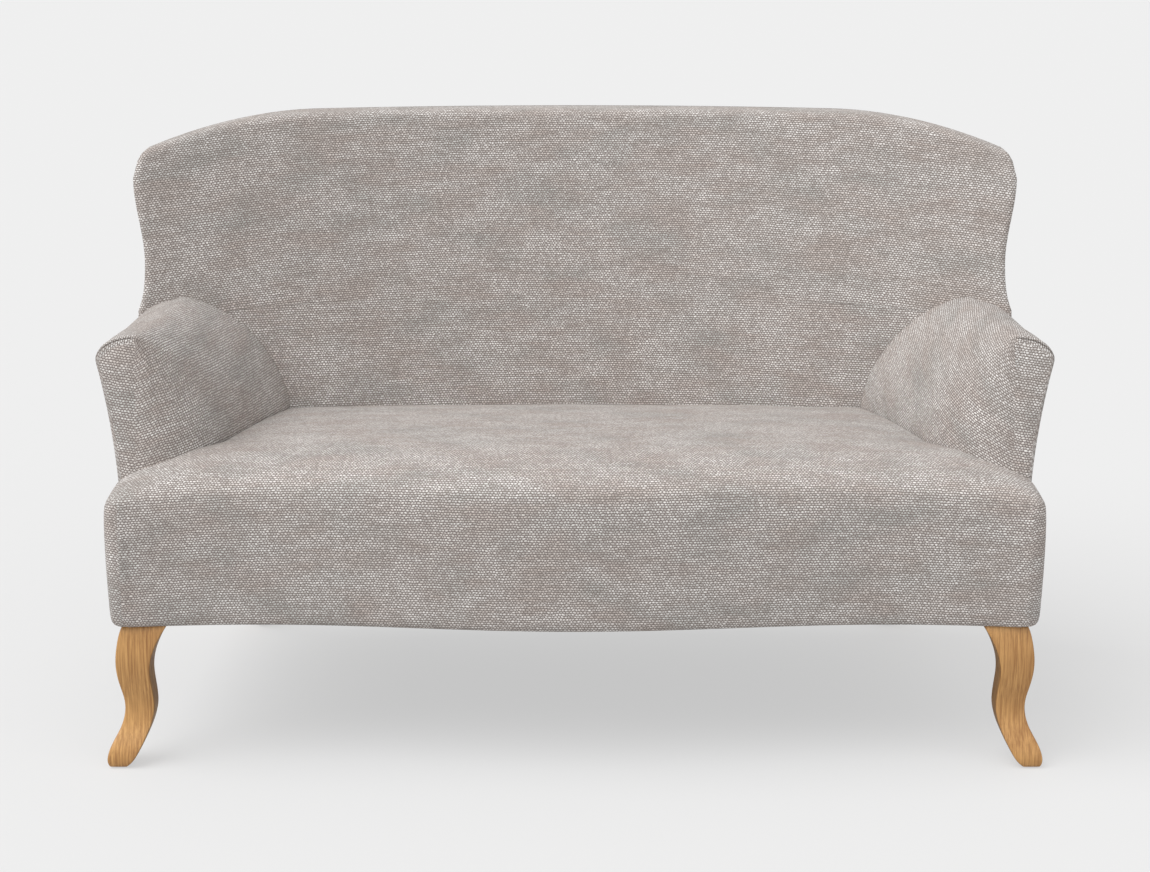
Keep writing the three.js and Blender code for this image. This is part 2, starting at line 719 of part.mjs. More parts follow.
// A strip nailed along the rail, with a raised keeper over the end of each spring
function clipStrip(atRear) {
  const foot = railTop + fit.clear;
  const top = springLevel + spring.wire / 2 + fit.clear + clip.sheet;
  const reach = springXs[springXs.length - 1] + clip.width;
  const middle = (x) => springEnds(x)[atRear];
  const strip = betweenSkins(mirrored(evenShares(3)), [foot, foot + clip.sheet], (share, z, skin) => {
    const x = share * reach;
    return [x, middle(x) + (skin - 0.5) * clip.length, z];
  });
  const half = clip.width / 2;
  const slotHalf = spring.wire / 2 + fit.layer;
  const around = (x, across, along, low, high) => (
    box(x - across, x + across, middle(x) - along, middle(x) + along, low, high));
  const keepers = springXs.map((x) => around(x, half, clip.length / 2, foot, top));
  const slots = springXs.map((x) => (
    around(x, slotHalf, clip.length, foot - fit.overrun, top - clip.sheet)));
  return cut(joined([strip, ...keepers]), slots);
}

function springPad() {
  return betweenSkins(mirrored(evenShares(6)), evenShares(1), (share, along, skin) => {
    const x = share * atSide(sideSet.pad);
    const front = seatFront(x) + pad.frontSet;
    const rear = backRear(x, padLevel) - stackDepth - fit.layer;
    return [x, mix(front, rear, along), padLevel + skin * pad.thickness];
  });
}

const webbingNear = frameFar + fit.layer;
const webbingFar = webbingNear + webbing.thickness;
const liningNear = webbingFar + fit.layer + 2 * fit.clear;

function levelStraps() {
  return strapLevelShares.map((share) => {
    const low = mix(hem, back.height, share);
    const plan = (across, z) => [acrossBack(across, backHalfWidth(z) - skinDepth - webbing.endSet), z];
    return backLayer(coarseAcross, [low, low + webbing.width], plan, webbingNear, webbingFar);
  });
}

function uprightStraps() {
  const low = hem + frame.lowerRail / 4;
  return evenShares(webbing.uprights - 1).map((share) => {
    const middle = (2 * share - 1) * atSide(sideSet.strap);
    const plan = (across, up) => {
      const x = middle + (across * webbing.width) / 2;
      return [x, mix(low, backTopLine(x) - frame.topRailDrop - frame.topRail / 2, up)];
    };
    return backLayer([-1, 1], evenShares(4), plan, webbingNear, webbingFar);
  });
}

const backWebbing = () => cut(joined([...levelStraps(), ...uprightStraps()]),
  [backTopRail(fit.clear), lowerCrossRail(fit.clear)]);

const liningEdge = (across, level) => acrossBack(across, backHalfWidth(level) - armZoneDepth - fit.layer);

function backLining() {
  const levels = [hem, ...flareLevels.slice(2), ...wingLevels, back.spring];
  return backLayer(coarseAcross, levels, (across, level) => {
    const up = (level - hem) / (back.spring - hem);
    const x = liningEdge(across, level);
    return [x, mix(hem + fit.layer, backTopLine(x) - frame.topRailDrop, up)];
  }, liningNear, liningNear + lining.thickness);
}

// Back pieces
function backFoam() {
  const whole = backSolid(cloth.thickness + fit.clear, -stackDepth);
  return cut(whole, [armZones.left, armZones.right]);
}

function insideBackCover() {
  const shell = backSolid(0, 0).subtract(backSolid(cloth.thickness, fit.overrun));
  return cut(shell, [below(hem), armZones.left, armZones.right, panelZones.left, panelZones.right]);
}

function outsideBackCover() {
  return backLayer(coarseAcross, outsideLevels, outsidePlan, 0, cloth.thickness);
}

// Arm pieces
function armCover(side, key) {
  const shell = armSolid(side, 0, arm.rear).subtract(armSolid(side, cloth.thickness, arm.rear + fit.overrun));
  return cut(shell, [backWhole, panelZones[key], below(foamLevel)]);
}

function armFoam(side, key) {
  const whole = armSolid(side, cloth.thickness + 2 * fit.clear, arm.rear);
  return cut(whole, [backWhole, armZones[key], below(foamLevel + fit.clear)]);
}

function armLining(side) {
  const near = skinDepth + frame.armDepth + fit.layer;
  return sideLayer(side, 3, sideLevels(hem, frameArmTop - fit.clear), () => armPostFront(),
    (z) => backFace(armOuter(arm.rear, z), z), near, near + lining.thickness);
}

function outsideArmPanel(side) {
  const front = (z) => arm.front + arm.edgeRound + armLean(z) + fit.layer;
  const rear = (z) => backRear(backHalfWidth(z), z);
  return sideLayer(side, 4, sideLevels(legHeight, frameArmTop), front, rear, 0, cloth.thickness);
}

// Legs
function roundedSquare([x0, x1], [y0, y1], z, round) {
  const corners = [[x1, y1, 0], [x0, y1, 1], [x0, y0, 2], [x1, y0, 3]];
  return corners.flatMap(([x, y, quarter]) => quarterTurns(cornerSteps).map((turn) => {
    const angle = turn + (quarter * Math.PI) / 2;
    const cornerX = x + (x === x1 ? -round : round);
    const cornerY = y + (y === y1 ? -round : round);
    return [cornerX + round * Math.cos(angle), cornerY + round * Math.sin(angle), z];
  }));
}

const legTopWidth = -frontLegShares[0][2] * legHeight;
const frontLegRear = (inner) => leg.frontSet - (inner * legHeight * leg.topDepth) / legTopWidth;

function frontLeg(side) {
  const low = glide.height + fit.clear;
  const sections = frontLegShares.map(([up, outer, inner]) => {
    const z = mix(low, legTop, up);
    const outerX = atSide(sideSet.legTop) + outer * legHeight;
    const innerX = atSide(sideSet.legTop) + inner * legHeight;
    const frontY = leg.frontSet - outer * legHeight;
    const rearY = frontLegRear(inner);
    const section = roundedSquare([innerX, outerX], [frontY, rearY], z, leg.edgeRound);
    return section.map(([x, y, height]) => [side * x, y, height]);
  });
  return cut(throughSections(sections), [frontBolt(side, fit.clear)]);
}

const [rearFootX, rearFootY] = [atSide(sideSet.rearFoot), rearLegY + rearLeg.sweep];

function rearLegTimber(side) {
  const low = glide.height + fit.clear;
  const sections = evenShares(rearLeg.sections).map((up) => {
    const sweep = (1 - up) ** rearLeg.sweepPower;
    const half = mix(rearLeg.footSide, rearLeg.topSide, up) / 2;
    const x = mix(rearLegX, rearFootX, sweep);
    const y = mix(rearLegY, rearFootY, sweep);
    const section = roundedSquare([-half, half], [-half, half], mix(low, legTop, up), leg.edgeRound / 2);
    return section.map(([a, b, z]) => (
      [side * (x + (a - b) * Math.SQRT1_2), y + (a + b) * Math.SQRT1_2, z]));
  });
  return cut(throughSections(sections), [rearBolt(side, fit.clear)]);
}

const footShares = frontLegShares[frontLegShares.length - 1];
const frontFootX = atSide(sideSet.legTop) + ((footShares[1] + footShares[2]) / 2) * legHeight;
const frontFootY = (leg.frontSet - footShares[1] * legHeight + frontLegRear(footShares[2])) / 2;
const footGlide = (x, y) => rod(glide.radius, [x, y, 0], [x, y, glide.height], glide.sides);

// Dust cover, a flat cloth under the frame
function dustCover() {
  const inset = skinDepth + dust.inset;
  const edge = armBase(seat.earDepth) - inset;
  const rearEdge = armBase(back.sideDepth) - inset;
  const shares = mirrored(evenShares(6));
  const front = shares.map((share) => [share * edge, seatFront(share * edge) + inset]);
  const rear = shares.map((share) => [-share * rearEdge, backRear(share * rearEdge, legHeight) - inset]);
  const outline = new THREE.Shape([...front, ...rear].map(([x, y]) => new THREE.Vector2(x, y)));
  const sheet = new THREE.ExtrudeGeometry(outline, { depth: dust.thickness, bevelEnabled: false });
  sheet.translate(0, 0, railBottom - fit.clear - dust.thickness);
  return cut(toSolid(sheet), [-1, 1].flatMap(legRooms));
}

// The room for a front leg, out to the edge of the cloth, and for a rear leg
function legRooms(side) {
  const around = fit.layer;
  const [low, high] = [legHeight, railBottom];
  const inner = atSide(sideSet.legTop) + frontLegShares[0][2] * legHeight - around;
  const half = (rearLeg.topSide * Math.SQRT2) / 2 + around;
  const [x, y] = [side * rearLegX, rearLegY];
  const frontRoom = leg.frontSet + leg.topDepth + around;
  return [
    box(side * inner, side * seat.halfWidth, -arm.front, frontRoom, low, high),
    box(x - half, x + half, y - half, y + half, low, high),
  ];
}

// The settee
const assembly = new THREE.Group();
const frontmost = seat.bowMean - seat.bowDepth;
const rearmost = backRear(0, back.height);
assembly.position.y = -(frontmost + rearmost) / 2;

function add(name, solid, material) {
  const piece = new THREE.Mesh(toGeometry(solid), material());
  piece.name = name;
  assembly.add(piece);
}

function addPair(name, make, material) {
  add(`${name}_left`, make(-1, 'left'), material);
  add(`${name}_right`, make(1, 'right'), material);
}

add('front_rail', frontRail(0), palette.beech);
add('back_rail', lowBackRail(0), palette.beech);
addPair('side_rail', sideRail, palette.beech);
add('seat_centre_rail', centreRail(), palette.beech);
addPair('front_leg_block', frontBlock, palette.beech);
addPair('rear_leg_block', rearBlock, palette.beech);
addPair('arm_post', armPost, palette.beech);
addPair('arm_top_rail', armTopRail, palette.beech);
addPair('arm_lower_rail', armLowerRail, palette.beech);
addPair('back_post', (side) => backPost(side, 0), palette.beech);
add('back_top_rail', backTopRail(0), palette.beech);
add('back_lower_rail', lowerCrossRail(0), palette.beech);
add('back_centre_stile', backStile(), palette.beech);
springXs.forEach((x, at) => add(`seat_spring_${at + 1}`, seatSpring(x), palette.steel));
add('spring_clip_strip_front', clipStrip(0), palette.steel);
add('spring_clip_strip_back', clipStrip(1), palette.steel);
add('spring_pad', springPad(), palette.felt);
add('back_webbing', backWebbing(), palette.webbing);
add('back_lining', backLining(), palette.lining);
addPair('arm_lining', armLining, palette.lining);
add('seat_foam', seatFoam(), palette.foam);
add('border_padding', borderPadding(), palette.foam);
add('back_foam', backFoam(), palette.foam);
addPair('arm_foam', armFoam, palette.foam);
add('seat_cover', seatCover(), palette.fabric);
add('inside_back_cover', insideBackCover(), palette.fabric);
add('outside_back_cover', outsideBackCover(), palette.fabric);
addPair('arm_cover', armCover, palette.fabric);
addPair('outside_arm_panel', outsideArmPanel, palette.fabric);
add('dust_cover', dustCover(), palette.dustCloth);
addPair('front_leg', frontLeg, palette.oak);
addPair('rear_leg', rearLegTimber, palette.oak);
addPair('front_leg_bolt', (side) => frontBolt(side, 0), palette.steel);
addPair('rear_leg_bolt', (side) => rearBolt(side, 0), palette.steel);
addPair('front_foot_glide', (side) => footGlide(side * frontFootX, frontFootY), palette.nylon);
addPair('rear_foot_glide', (side) => footGlide(side * rearFootX, rearFootY), palette.nylon);

export default assembly;
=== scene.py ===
"""High back settee: the upholstery, seams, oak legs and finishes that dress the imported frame."""

import json
import logging
import math
from dataclasses import dataclass
from enum import Enum
from typing import Sequence

import bmesh
import bpy
import numpy as np
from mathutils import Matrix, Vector


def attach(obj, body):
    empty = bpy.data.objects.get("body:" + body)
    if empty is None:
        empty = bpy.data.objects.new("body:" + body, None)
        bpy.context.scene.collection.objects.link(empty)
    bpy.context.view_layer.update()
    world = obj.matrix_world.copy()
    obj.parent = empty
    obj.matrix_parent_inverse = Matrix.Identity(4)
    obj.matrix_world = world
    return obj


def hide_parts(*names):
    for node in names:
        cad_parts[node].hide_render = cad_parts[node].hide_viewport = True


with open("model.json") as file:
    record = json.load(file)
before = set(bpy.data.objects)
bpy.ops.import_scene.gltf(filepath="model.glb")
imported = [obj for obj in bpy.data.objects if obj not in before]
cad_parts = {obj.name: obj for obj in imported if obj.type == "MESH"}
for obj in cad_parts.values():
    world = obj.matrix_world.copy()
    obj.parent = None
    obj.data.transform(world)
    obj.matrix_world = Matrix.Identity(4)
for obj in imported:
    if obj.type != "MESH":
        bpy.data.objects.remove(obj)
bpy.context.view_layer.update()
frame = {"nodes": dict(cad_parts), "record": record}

logging.basicConfig(level=logging.INFO, format="%(message)s")
log = logging.getLogger("settee")

Array = np.ndarray
Numbers = tuple[float, ...]
Pair = tuple[float, float]
Triple = tuple[float, float, float]
Tone = tuple[int, int, int]
Piece = bpy.types.Object
Material = bpy.types.Material
NodeTree = bpy.types.NodeTree
Socket = bpy.types.NodeSocket
Sheet = tuple[Piece, Pair, float]

MM = 0.001
TINY = 1e-6
BODY = "root"
COVER = "cover_fabric"


class Side(Enum):
    """Which end of the settee, as seen from the front."""

    LEFT = -1
    RIGHT = 1

    @property
    def word(self) -> str:
        """The end's name as the frame's nodes spell it."""
        return self.name.lower()

    @property
    def flip(self) -> Array:
        """What turns a point of the right-hand end into one of this end."""
        return np.array([self.value, 1, 1])


def bell(distance: Array, reach: float, power: float = 2) -> Array:
    """Rise of a rounded edge.

    Args:
        distance: how far in from the edge, in millimetres.
        reach: where the rise ends.
        power: 2 is a quarter circle, and more is squarer.

    Returns:
        0 at the edge and 1 from reach on.
    """
    share = np.clip(np.asarray(distance, float) / reach, 0.0, 1.0)
    return (1.0 - (1.0 - share) ** power) ** (1.0 / power)


def bell_steps(shares: Sequence[float], reach: float, power: float) -> list[float]:
    """Distances from an edge at which a rounded edge has risen by each share."""
    return [reach * (1.0 - (1.0 - share**power) ** (1.0 / power)) for share in shares]


def mix(low: Array, high: Array, share: Array) -> Array:
    """The value at a share of the way from low to high."""
    return low + (high - low) * share


def way(value: Array, start: float, end: float) -> Array:
    """How far a value is from start to end, held between 0 and 1."""
    return np.clip((value - start) / (end - start), 0, 1)


def step(value: Array, start: float, end: float) -> Array:
    """A soft step from 0 at start to 1 at end."""
    share = way(value, start, end)
    return share * share * (3.0 - 2.0 * share)


def ridge(value: Array, middle: float, width: float) -> Array:
    """A smooth ridge, 1 high at its middle."""
    return np.exp(-(((value - middle) / width) ** 2))


def mirrored(near: Sequence[float], core: Sequence[float]) -> Array:
    """Shares across from -1 to 1: near both edges at the given distances, and core between."""
    edge = 1 - np.array(near)
    return np.array([*-edge, *core, *edge[::-1]])


@dataclass(frozen=True)
class SetteeForm:
    """The settee's outer surfaces, in millimetres, with y from the front plane to the rear."""

    plane_shift: float = 363.032
    leg_height: float = 215.0
    seat_half: float = 679.0
    seat_edge: float = 406.0
    seat_rise: float = 56.0
    side_drop: float = 12.0
    front_line: float = -5.5
    front_bow: float = 16.5
    front_wave: float = 460.0
    arm_dip: float = 9.0
    dip_across: Pair = (420.0, 590.0)
    dip_front: Pair = (110.0, 190.0)
    dip_rear: Pair = (380.0, 500.0)
    round_reach: float = 150.0
    rear_reach: float = 440.0
    seat_depth: float = 545.0
    round_power: float = 2.2
    corner_round: float = 20.0
    arm_front: float = 67.0
    arm_crown: float = 640.0
    arm_height: float = 622.0
    arm_shoulder: float = 592.0
    arm_base: float = 661.5
    arm_top_edge: float = 700.0
    arm_flare_from: float = 303.0
    arm_inner_from: float = 430.0
    arm_inner_reach: float = 87.0
    arm_nose: float = 110.0
    arm_rear: float = 560.0
    arm_meets_back: float = 625.0
    arm_lean: float = 0.187
    arm_taper: float = 0.0407
    arm_spread: float = 0.226
    inner_power: float = 1.7
    back_half: float = 698.0
    back_waist: float = 688.5
    post_cover: float = 3.2
    post_low: Pair = (560.0, 574.0)
    post_high: Pair = (655.0, 715.0)
    back_wing_from: float = 604.0
    back_waist_at: float = 673.0
    back_spring: float = 816.0
    back_spring_half: float = 706.0
    back_corner_at: float = 850.0
    back_corner_half: float = 691.0
    back_height: float = 903.0
    back_level_half: float = 430.0
    back_hem: float = 345.0
    back_round: float = 13.0
    back_corner_round: float = 3.6
    face_foot: float = 532.0
    face_level: float = 433.0
    face_rake: float = 0.243
    face_curve: float = 3140.0
    rear_foot: float = 660.0
    rear_rake: float = 0.128
    rear_curve: Pair = (6000.0, 1700.0)

    def seat_front(self, x: Array) -> Array:
        """Where the bowed front stands at x."""
        return self.front_line - self.front_bow * np.cos(np.pi * np.asarray(x, float) / self.front_wave)

    def seat_top(self, x: Array, y: Array) -> Array:
        """Height of the seat, which rises from its square border to a soft crown.

        Args:
            x: place across, in millimetres.
            y: distance back from the front plane.

        Returns:
            The height at each point.
        """
        from_front = y - self.seat_front(x)
        from_side = self.seat_half - np.abs(x)
        front = bell(from_front, self.round_reach, self.round_power)
        side = bell(from_side, self.round_reach, self.round_power)
        rear = bell(self.seat_depth - y, self.rear_reach, self.round_power)
        r = self.corner_round
        to_edge = r - np.hypot(np.clip(r - from_front, 0, None), np.clip(r - from_side, 0, None))
        nearest = np.minimum(from_front, from_side)
        corner = bell(np.maximum(to_edge, 0), r) / np.maximum(bell(nearest, r), TINY)
        rise = self.seat_rise * front * side * rear * np.clip(corner, 0, 1)
        beside = step(np.abs(x), *self.dip_across) * step(y, *self.dip_front) * (1 - step(y, *self.dip_rear))
        return self.seat_edge + rise - self.side_drop * (x / self.seat_half) ** 2 - self.arm_dip * beside

    def lean(self, z: Array) -> Array:
        """How far the arm's front has leant back at a height."""
        return self.arm_lean * np.maximum(0.0, np.asarray(z, float) - self.seat_edge)

    def arm_outer(self, y: Array, z: Array) -> Array:
        """Half-width of the flared arm's outer face.

        Args:
            y: distance back from the front plane.
            z: height.

        Returns:
            The half-width at each point.
        """
        base = self.arm_base - self.arm_taper * (y - self.arm_front)
        top = mix(self.arm_top_edge, self.back_half, way(y, self.arm_front, self.arm_rear))
        return base + (top - base) * way(z, self.arm_flare_from, self.arm_shoulder) ** 2

    def arm_reach(self, y: Array) -> Array:
        """How far the arm's foot reaches in from its crown line."""
        spread = self.arm_inner_reach + self.arm_spread * (y - self.arm_front)
        return spread * bell(y - self.arm_front, self.arm_nose, self.round_power)

    def arm_inner(self, y: Array, z: Array) -> Array:
        """Half-width of the arm's sloping inner face.

        Args:
            y: distance back from the front plane.
            z: height.

        Returns:
            The half-width at each point.
        """
        up = way(z, self.arm_inner_from, self.arm_height)
        shape = (1.0 - up**self.inner_power) ** (1.0 / self.inner_power)
        return self.arm_crown - self.arm_reach(y) * shape

    def back_half_at(self, z: Array) -> Array:
        """Half-width of the back at a height.

        Args:
            z: height.

        Returns:
            The half-width, which is the arm's below the wings.
        """
        z = np.asarray(z, float)
        low = self.arm_outer(np.full_like(z, self.arm_meets_back), z)
        below = way(z, self.back_wing_from, self.back_waist_at)
        to_waist = mix(self.back_half, self.back_waist, 1 - (1 - below) ** 3)
        to_spring = mix(self.back_waist, self.back_spring_half, step(z, self.back_waist_at, self.back_spring))
        past = way(z, self.back_spring, self.back_corner_at)
        to_corner = mix(self.back_spring_half, self.back_corner_half, past**2)
        return np.where(z <= self.back_wing_from, low,
                        np.where(z <= self.back_waist_at, to_waist,
                                 np.where(z <= self.back_spring, to_spring, to_corner)))

    def over_post(self, z: Array) -> Array:
        """How far the covers stand out over the back posts, where the arms meet the wings."""
        return self.post_cover * step(z, *self.post_low) * (1 - step(z, *self.post_high))

    def back_top(self, x: Array) -> Array:
        """Height of the arched top line at x.

        Args:
            x: place across, in millimetres.

        Returns:
            The height, level in the middle and falling to the corners.
        """
        level, corner = self.back_level_half, self.back_corner_half
        past = np.maximum(0, np.abs(x) - level) / (corner - level)
        return self.back_height - (self.back_height - self.back_corner_at) * past**2

    def back_grid(self, shares: Array, levels: Array, half: Array, low: float, drop: float,
                  wide: float) -> tuple[Array, Array, Array, Array, Array]:
        """Lay a grid over the back under its arched top line, with its two top corners drawn in to a round.

        Args:
            shares: places across, from -1 to 1, in one row.
            levels: heights before the arch bends them, in one column.
            half: half-width at each level.
            low: height of the lowest row.
            drop: how far the last row lies below the top line.
            wide: half-width by which distances from the side are told.

        Returns:
            Places across, heights, and the distances from the side, the top and the foot.
        """
        x = shares * half
        up = (levels - low) / (self.back_corner_at - low)
        z = low + up * (self.back_top(x) - drop - low)
        from_side = np.broadcast_to((1 - np.abs(shares)) * wide, x.shape)
        from_top = np.broadcast_to((1 - up) * (self.back_height - low), x.shape)
        from_foot = np.broadcast_to(up * (self.back_height - low), x.shape)
        r = self.back_corner_round
        a = 1.0 - np.clip(from_side / r, 0, 1)
        b = 1.0 - np.clip(from_top / r, 0, 1)
        across = r * a * (1.0 - np.sqrt(1.0 - b * b / 2.0))
        down = r * b * (1.0 - np.sqrt(1.0 - a * a / 2.0))
        return x - np.sign(x) * across, z - down, from_side, from_top, from_foot

    def back_face(self, x: Array, z: Array) -> Array:
        """The raked and curved inside face."""
        return self.face_foot + self.face_rake * (z - self.face_level) - x**2 / self.face_curve

    def back_rear(self, x: Array, z: Array) -> Array:
        """The raked and curved outside face.

        Args:
            x: place across, in millimetres.
            z: height.

        Returns:
            The distance back at each point.
        """
        up = (z - self.leg_height) / (self.back_corner_at - self.leg_height)
        low, high = self.rear_curve
        curve = mix(1 / low, 1 / high, up)
        return self.rear_foot + self.rear_rake * (z - self.leg_height) - curve * x**2 / 2.0

    def place(self, points: Array) -> Array:
        """Drawing points in millimetres as points of the frame in metres.

        Args:
            points: an array whose last axis is x, y, z.

        Returns:
            The moved and scaled points.
        """
        moved = np.array(points, float)
        moved[..., 1] -= self.plane_shift
        return moved * MM


FORM = SetteeForm()


@dataclass(frozen=True)
class Unevenness:
    """Soft unevenness of stuffed cloth, in millimetres, that dies away towards a piece's edge."""

    seed: int
    height: float
    reach: float = 90.0
    belly: float = 0.0
    waves: Numbers = (430.0, 290.0, 210.0, 150.0, 105.0)
    fading: float = 0.7
    together: float = 2.6

    def ripple(self, a: Array, b: Array) -> Array:
        """The rise or dip at each point.

        Args:
            a: first surface coordinate in millimetres.
            b: second surface coordinate in millimetres.

        Returns:
            Values up to about the height, both ways.
        """
        chance = np.random.default_rng(self.seed)
        total = np.zeros(np.broadcast(a, b).shape)
        for length in self.waves:
            turn = chance.uniform(0, 2 * np.pi)
            shift = chance.uniform(0, 2 * np.pi)
            along = a * np.cos(turn) + b * np.sin(turn)
            total += np.sin(2 * np.pi * along / length + shift) * (length / self.waves[0]) ** self.fading
        return self.height * total / self.together

    def at(self, a: Array, b: Array, from_edge: Array) -> Array:
        """The belly and the ripple together, from nothing at the edge to their full height."""
        return bell(from_edge, self.reach) * (self.belly + self.ripple(a, b))


def rim(grid: Array) -> Array:
    """What stands round the edge of a grid, from its first corner along its first row."""
    return np.concatenate([grid[0], grid[1:, -1], grid[-1, -2::-1], grid[-2:0:-1, 0]])


def lengths(points: Array) -> Array:
    """Distance covered at each point of a path, along the first axis."""
    steps = np.linalg.norm(np.diff(points, axis=0), axis=-1)
    return np.concatenate([np.zeros((1, *steps.shape[1:])), np.cumsum(steps, axis=0)])


def outward(path: Array) -> Array:
    """Unit normals of a closed flat path that runs anticlockwise, pointing out of it.

    Args:
        path: its points, two numbers each.

    Returns:
        One normal for each point.
    """
    tangent = np.roll(path, -1, axis=0) - np.roll(path, 1, axis=0)
    normal = np.stack([tangent[:, 1], -tangent[:, 0]], -1)
    return normal / np.maximum(np.linalg.norm(normal, axis=1, keepdims=True), TINY)


def grid_area(grid: Array) -> float:
    """Area of a grid of points, in square millimetres.

    Args:
        grid: points by row and column.

    Returns:
        The area of its faces.
    """
    a = grid[1:, 1:] - grid[:-1, :-1]
    b = grid[1:, :-1] - grid[:-1, 1:]
    return float(np.linalg.norm(np.cross(a, b), axis=-1).sum() / 2)


def tidy_mesh(mesh: bpy.types.Mesh) -> None:
    """Merge doubled points, turn every face outwards and shade the mesh smooth.

    Args:
        mesh: the mesh to change.
    """
    work = bmesh.new()
    work.from_mesh(mesh)
    bmesh.ops.remove_doubles(work, verts=work.verts, dist=2 * TINY)
    bmesh.ops.recalc_face_normals(work, faces=work.faces)
    for face in work.faces:
        face.smooth = True
    work.to_mesh(mesh)
    work.free()


class Shell:
    """A closed mesh put together from grids of points that share their edges."""

    def __init__(self) -> None:
        """Start with nothing."""
        self.points: list[Array] = []
        self.count = 0
        self.faces: list[Array] = []
        self.maps: list[Array] = []
        self.seam_shades: list[Array] = []

    def add(self, points: Array, seam_shade: Array | None = None) -> Array:
        """Add points of any grid shape.

        Args:
            points: an array whose last axis is x, y, z in millimetres.
            seam_shade: share of painted shade in a seam's groove, 0 to 1 at each point, 1 in the bottom of a
                seam.

        Returns:
            The points' numbers, in the same shape.
        """
        flat = points.reshape(-1, 3)
        ids = np.arange(self.count, self.count + len(flat)).reshape(points.shape[:-1])
        self.points.append(flat)
        self.seam_shades.append(np.zeros(len(flat)) if seam_shade is None else seam_shade.reshape(-1))
        self.count += len(flat)
        return ids

    def skin(self, ids: Array, cloth: Array) -> None:
        """Fill a grid of numbered points with four-sided faces.

        Args:
            ids: the points' numbers, by row and column.
            cloth: the place on the flat cloth of each point, in millimetres.
        """
        early, late = slice(None, -1), slice(1, None)
        corners = [(early, early), (early, late), (late, late), (late, early)]
        self.faces.append(np.stack([ids[c] for c in corners], -1).reshape(-1, 4))
        self.maps.append(np.stack([cloth[c] for c in corners], -2).reshape(-1, 4, 2))

    def close(self, outer: Array, rings: list[Array], inner: Array, cloth: Array) -> None:
        """Join an outer grid to an inner one by rings round their edges.

        Args:
            outer: grid of outer points.
            rings: edge loops between the two, each as long as the grid's rim.
            inner: grid of inner points, with the outer grid's rows and columns.
            cloth: the outer grid's places on the flat cloth.
        """
        outer_ids = self.add(outer)
        self.skin(outer_ids, cloth)
        inner_ids = self.add(inner)
        upright = np.ptp(inner[..., 2]) > 1
        self.skin(inner_ids, inner[..., [0, 2]] if upright else inner[..., :2])
        loops = [rim(outer_ids), *[self.add(ring) for ring in rings], rim(inner_ids)]
        stack = np.stack([np.append(loop, loop[0]) for loop in loops])
        path = np.stack([np.concatenate([ring, ring[:1]]) for ring in (rim(outer), *rings, rim(inner))])
        around = lengths(path[0])[None, :] * np.ones((len(loops), 1))
        around -= around[0, len(outer[0]) // 2]
        self.skin(stack, np.stack([around, -lengths(path)], -1))

    def piece(self, name: str) -> Piece:
        """Make the mesh object, with its cloth map and its painted seam shade.

        Args:
            name: the piece's name.

        Returns:
            The new object, in the scene.
        """
        mesh = bpy.data.meshes.new(name)
        points = FORM.place(np.concatenate(self.points))
        mesh.from_pydata(points.tolist(), [], np.concatenate(self.faces).tolist())
        layer = mesh.uv_layers.new(name="cloth")
        layer.data.foreach_set("uv", (np.concatenate(self.maps).reshape(-1) * MM).astype(np.float32))
        # The attribute holds each point's share of painted shade in the seam grooves.
        seam_shade = mesh.attributes.new("seam_shade", "FLOAT", "POINT")
        seam_shade.data.foreach_set("value", np.concatenate(self.seam_shades).astype(np.float32))
        tidy_mesh(mesh)
        made = bpy.data.objects.new(name, mesh)
        bpy.context.scene.collection.objects.link(made)
        return made


class Bench:
    """Short ways to place and join nodes in one node tree."""

    def __init__(self, tree: NodeTree) -> None:
        """Work on a tree."""
        self.tree = tree

    def node(self, kind: str, settings: dict | None = None, **inputs: object) -> bpy.types.Node:
        """Place a node.

        Args:
            kind: the node's type name.
            settings: values of the node's own properties.
            inputs: values or sockets for its inputs, by name with _ for a space.

        Returns:
            The node.
        """
        made = self.tree.nodes.new(kind)
        for key, value in (settings or {}).items():
            setattr(made, key, value)
        self.fill(made.inputs, **inputs)
        return made

    def feed(self, socket: Socket, value: object) -> None:
        """Join a socket to another, or set its value.

        Args:
            socket: the input.
            value: a socket, a number, a colour or a vector.
        """
        if isinstance(value, Socket):
            self.tree.links.new(value, socket)
        else:
            socket.default_value = value

    def fill(self, sockets: Sequence[Socket], **values: object) -> None:
        """Feed several sockets, by name with _ for a space."""
        for key, value in values.items():
            self.feed(sockets[key.replace("_", " ")], value)

    def math(self, operation: str, *values: object) -> Socket:
        """Place one sum.

        Args:
            operation: its name as Blender spells it.
            values: numbers or sockets.

        Returns:
            The result socket.
        """
        made = self.node("ShaderNodeMath", {"operation": operation})
        for socket, value in zip(made.inputs, values):
            self.feed(socket, value)
        return made.outputs[0]

    def weigh(self, first: object, first_share: float, second: object, second_share: float) -> Socket:
        """Two values, each times its share, added up."""
        return self.math("ADD", self.math("MULTIPLY", first, first_share),
                         self.math("MULTIPLY", second, second_share))

    def blend(self, share: object, low: object, high: object) -> Socket:
        """Mix two colours.

        Args:
            share: how much of the second colour there is.
            low: the first colour.
            high: the second colour.

        Returns:
            The colour socket.
        """
        made = self.node("ShaderNodeMix", {"data_type": "RGBA"})
        self.feed(made.inputs["Factor"], share)
        self.feed(made.inputs[6], low)
        self.feed(made.inputs[7], high)
        return made.outputs[2]

    def span(self, value: object, low: float, high: float, to_low: float = 0.0,
             to_high: float = 1.0) -> Socket:
        """Stretch a range of values to another, held at its ends."""
        return self.node("ShaderNodeMapRange", None, Value=value, From_Min=low, From_Max=high,
                         To_Min=to_low, To_Max=to_high).outputs[0]

    def turned(self, vector: object, turn: Triple) -> Socket:
        """A coordinate turned about its three axes."""
        return self.node("ShaderNodeMapping", None, Vector=vector, Rotation=turn).outputs[0]


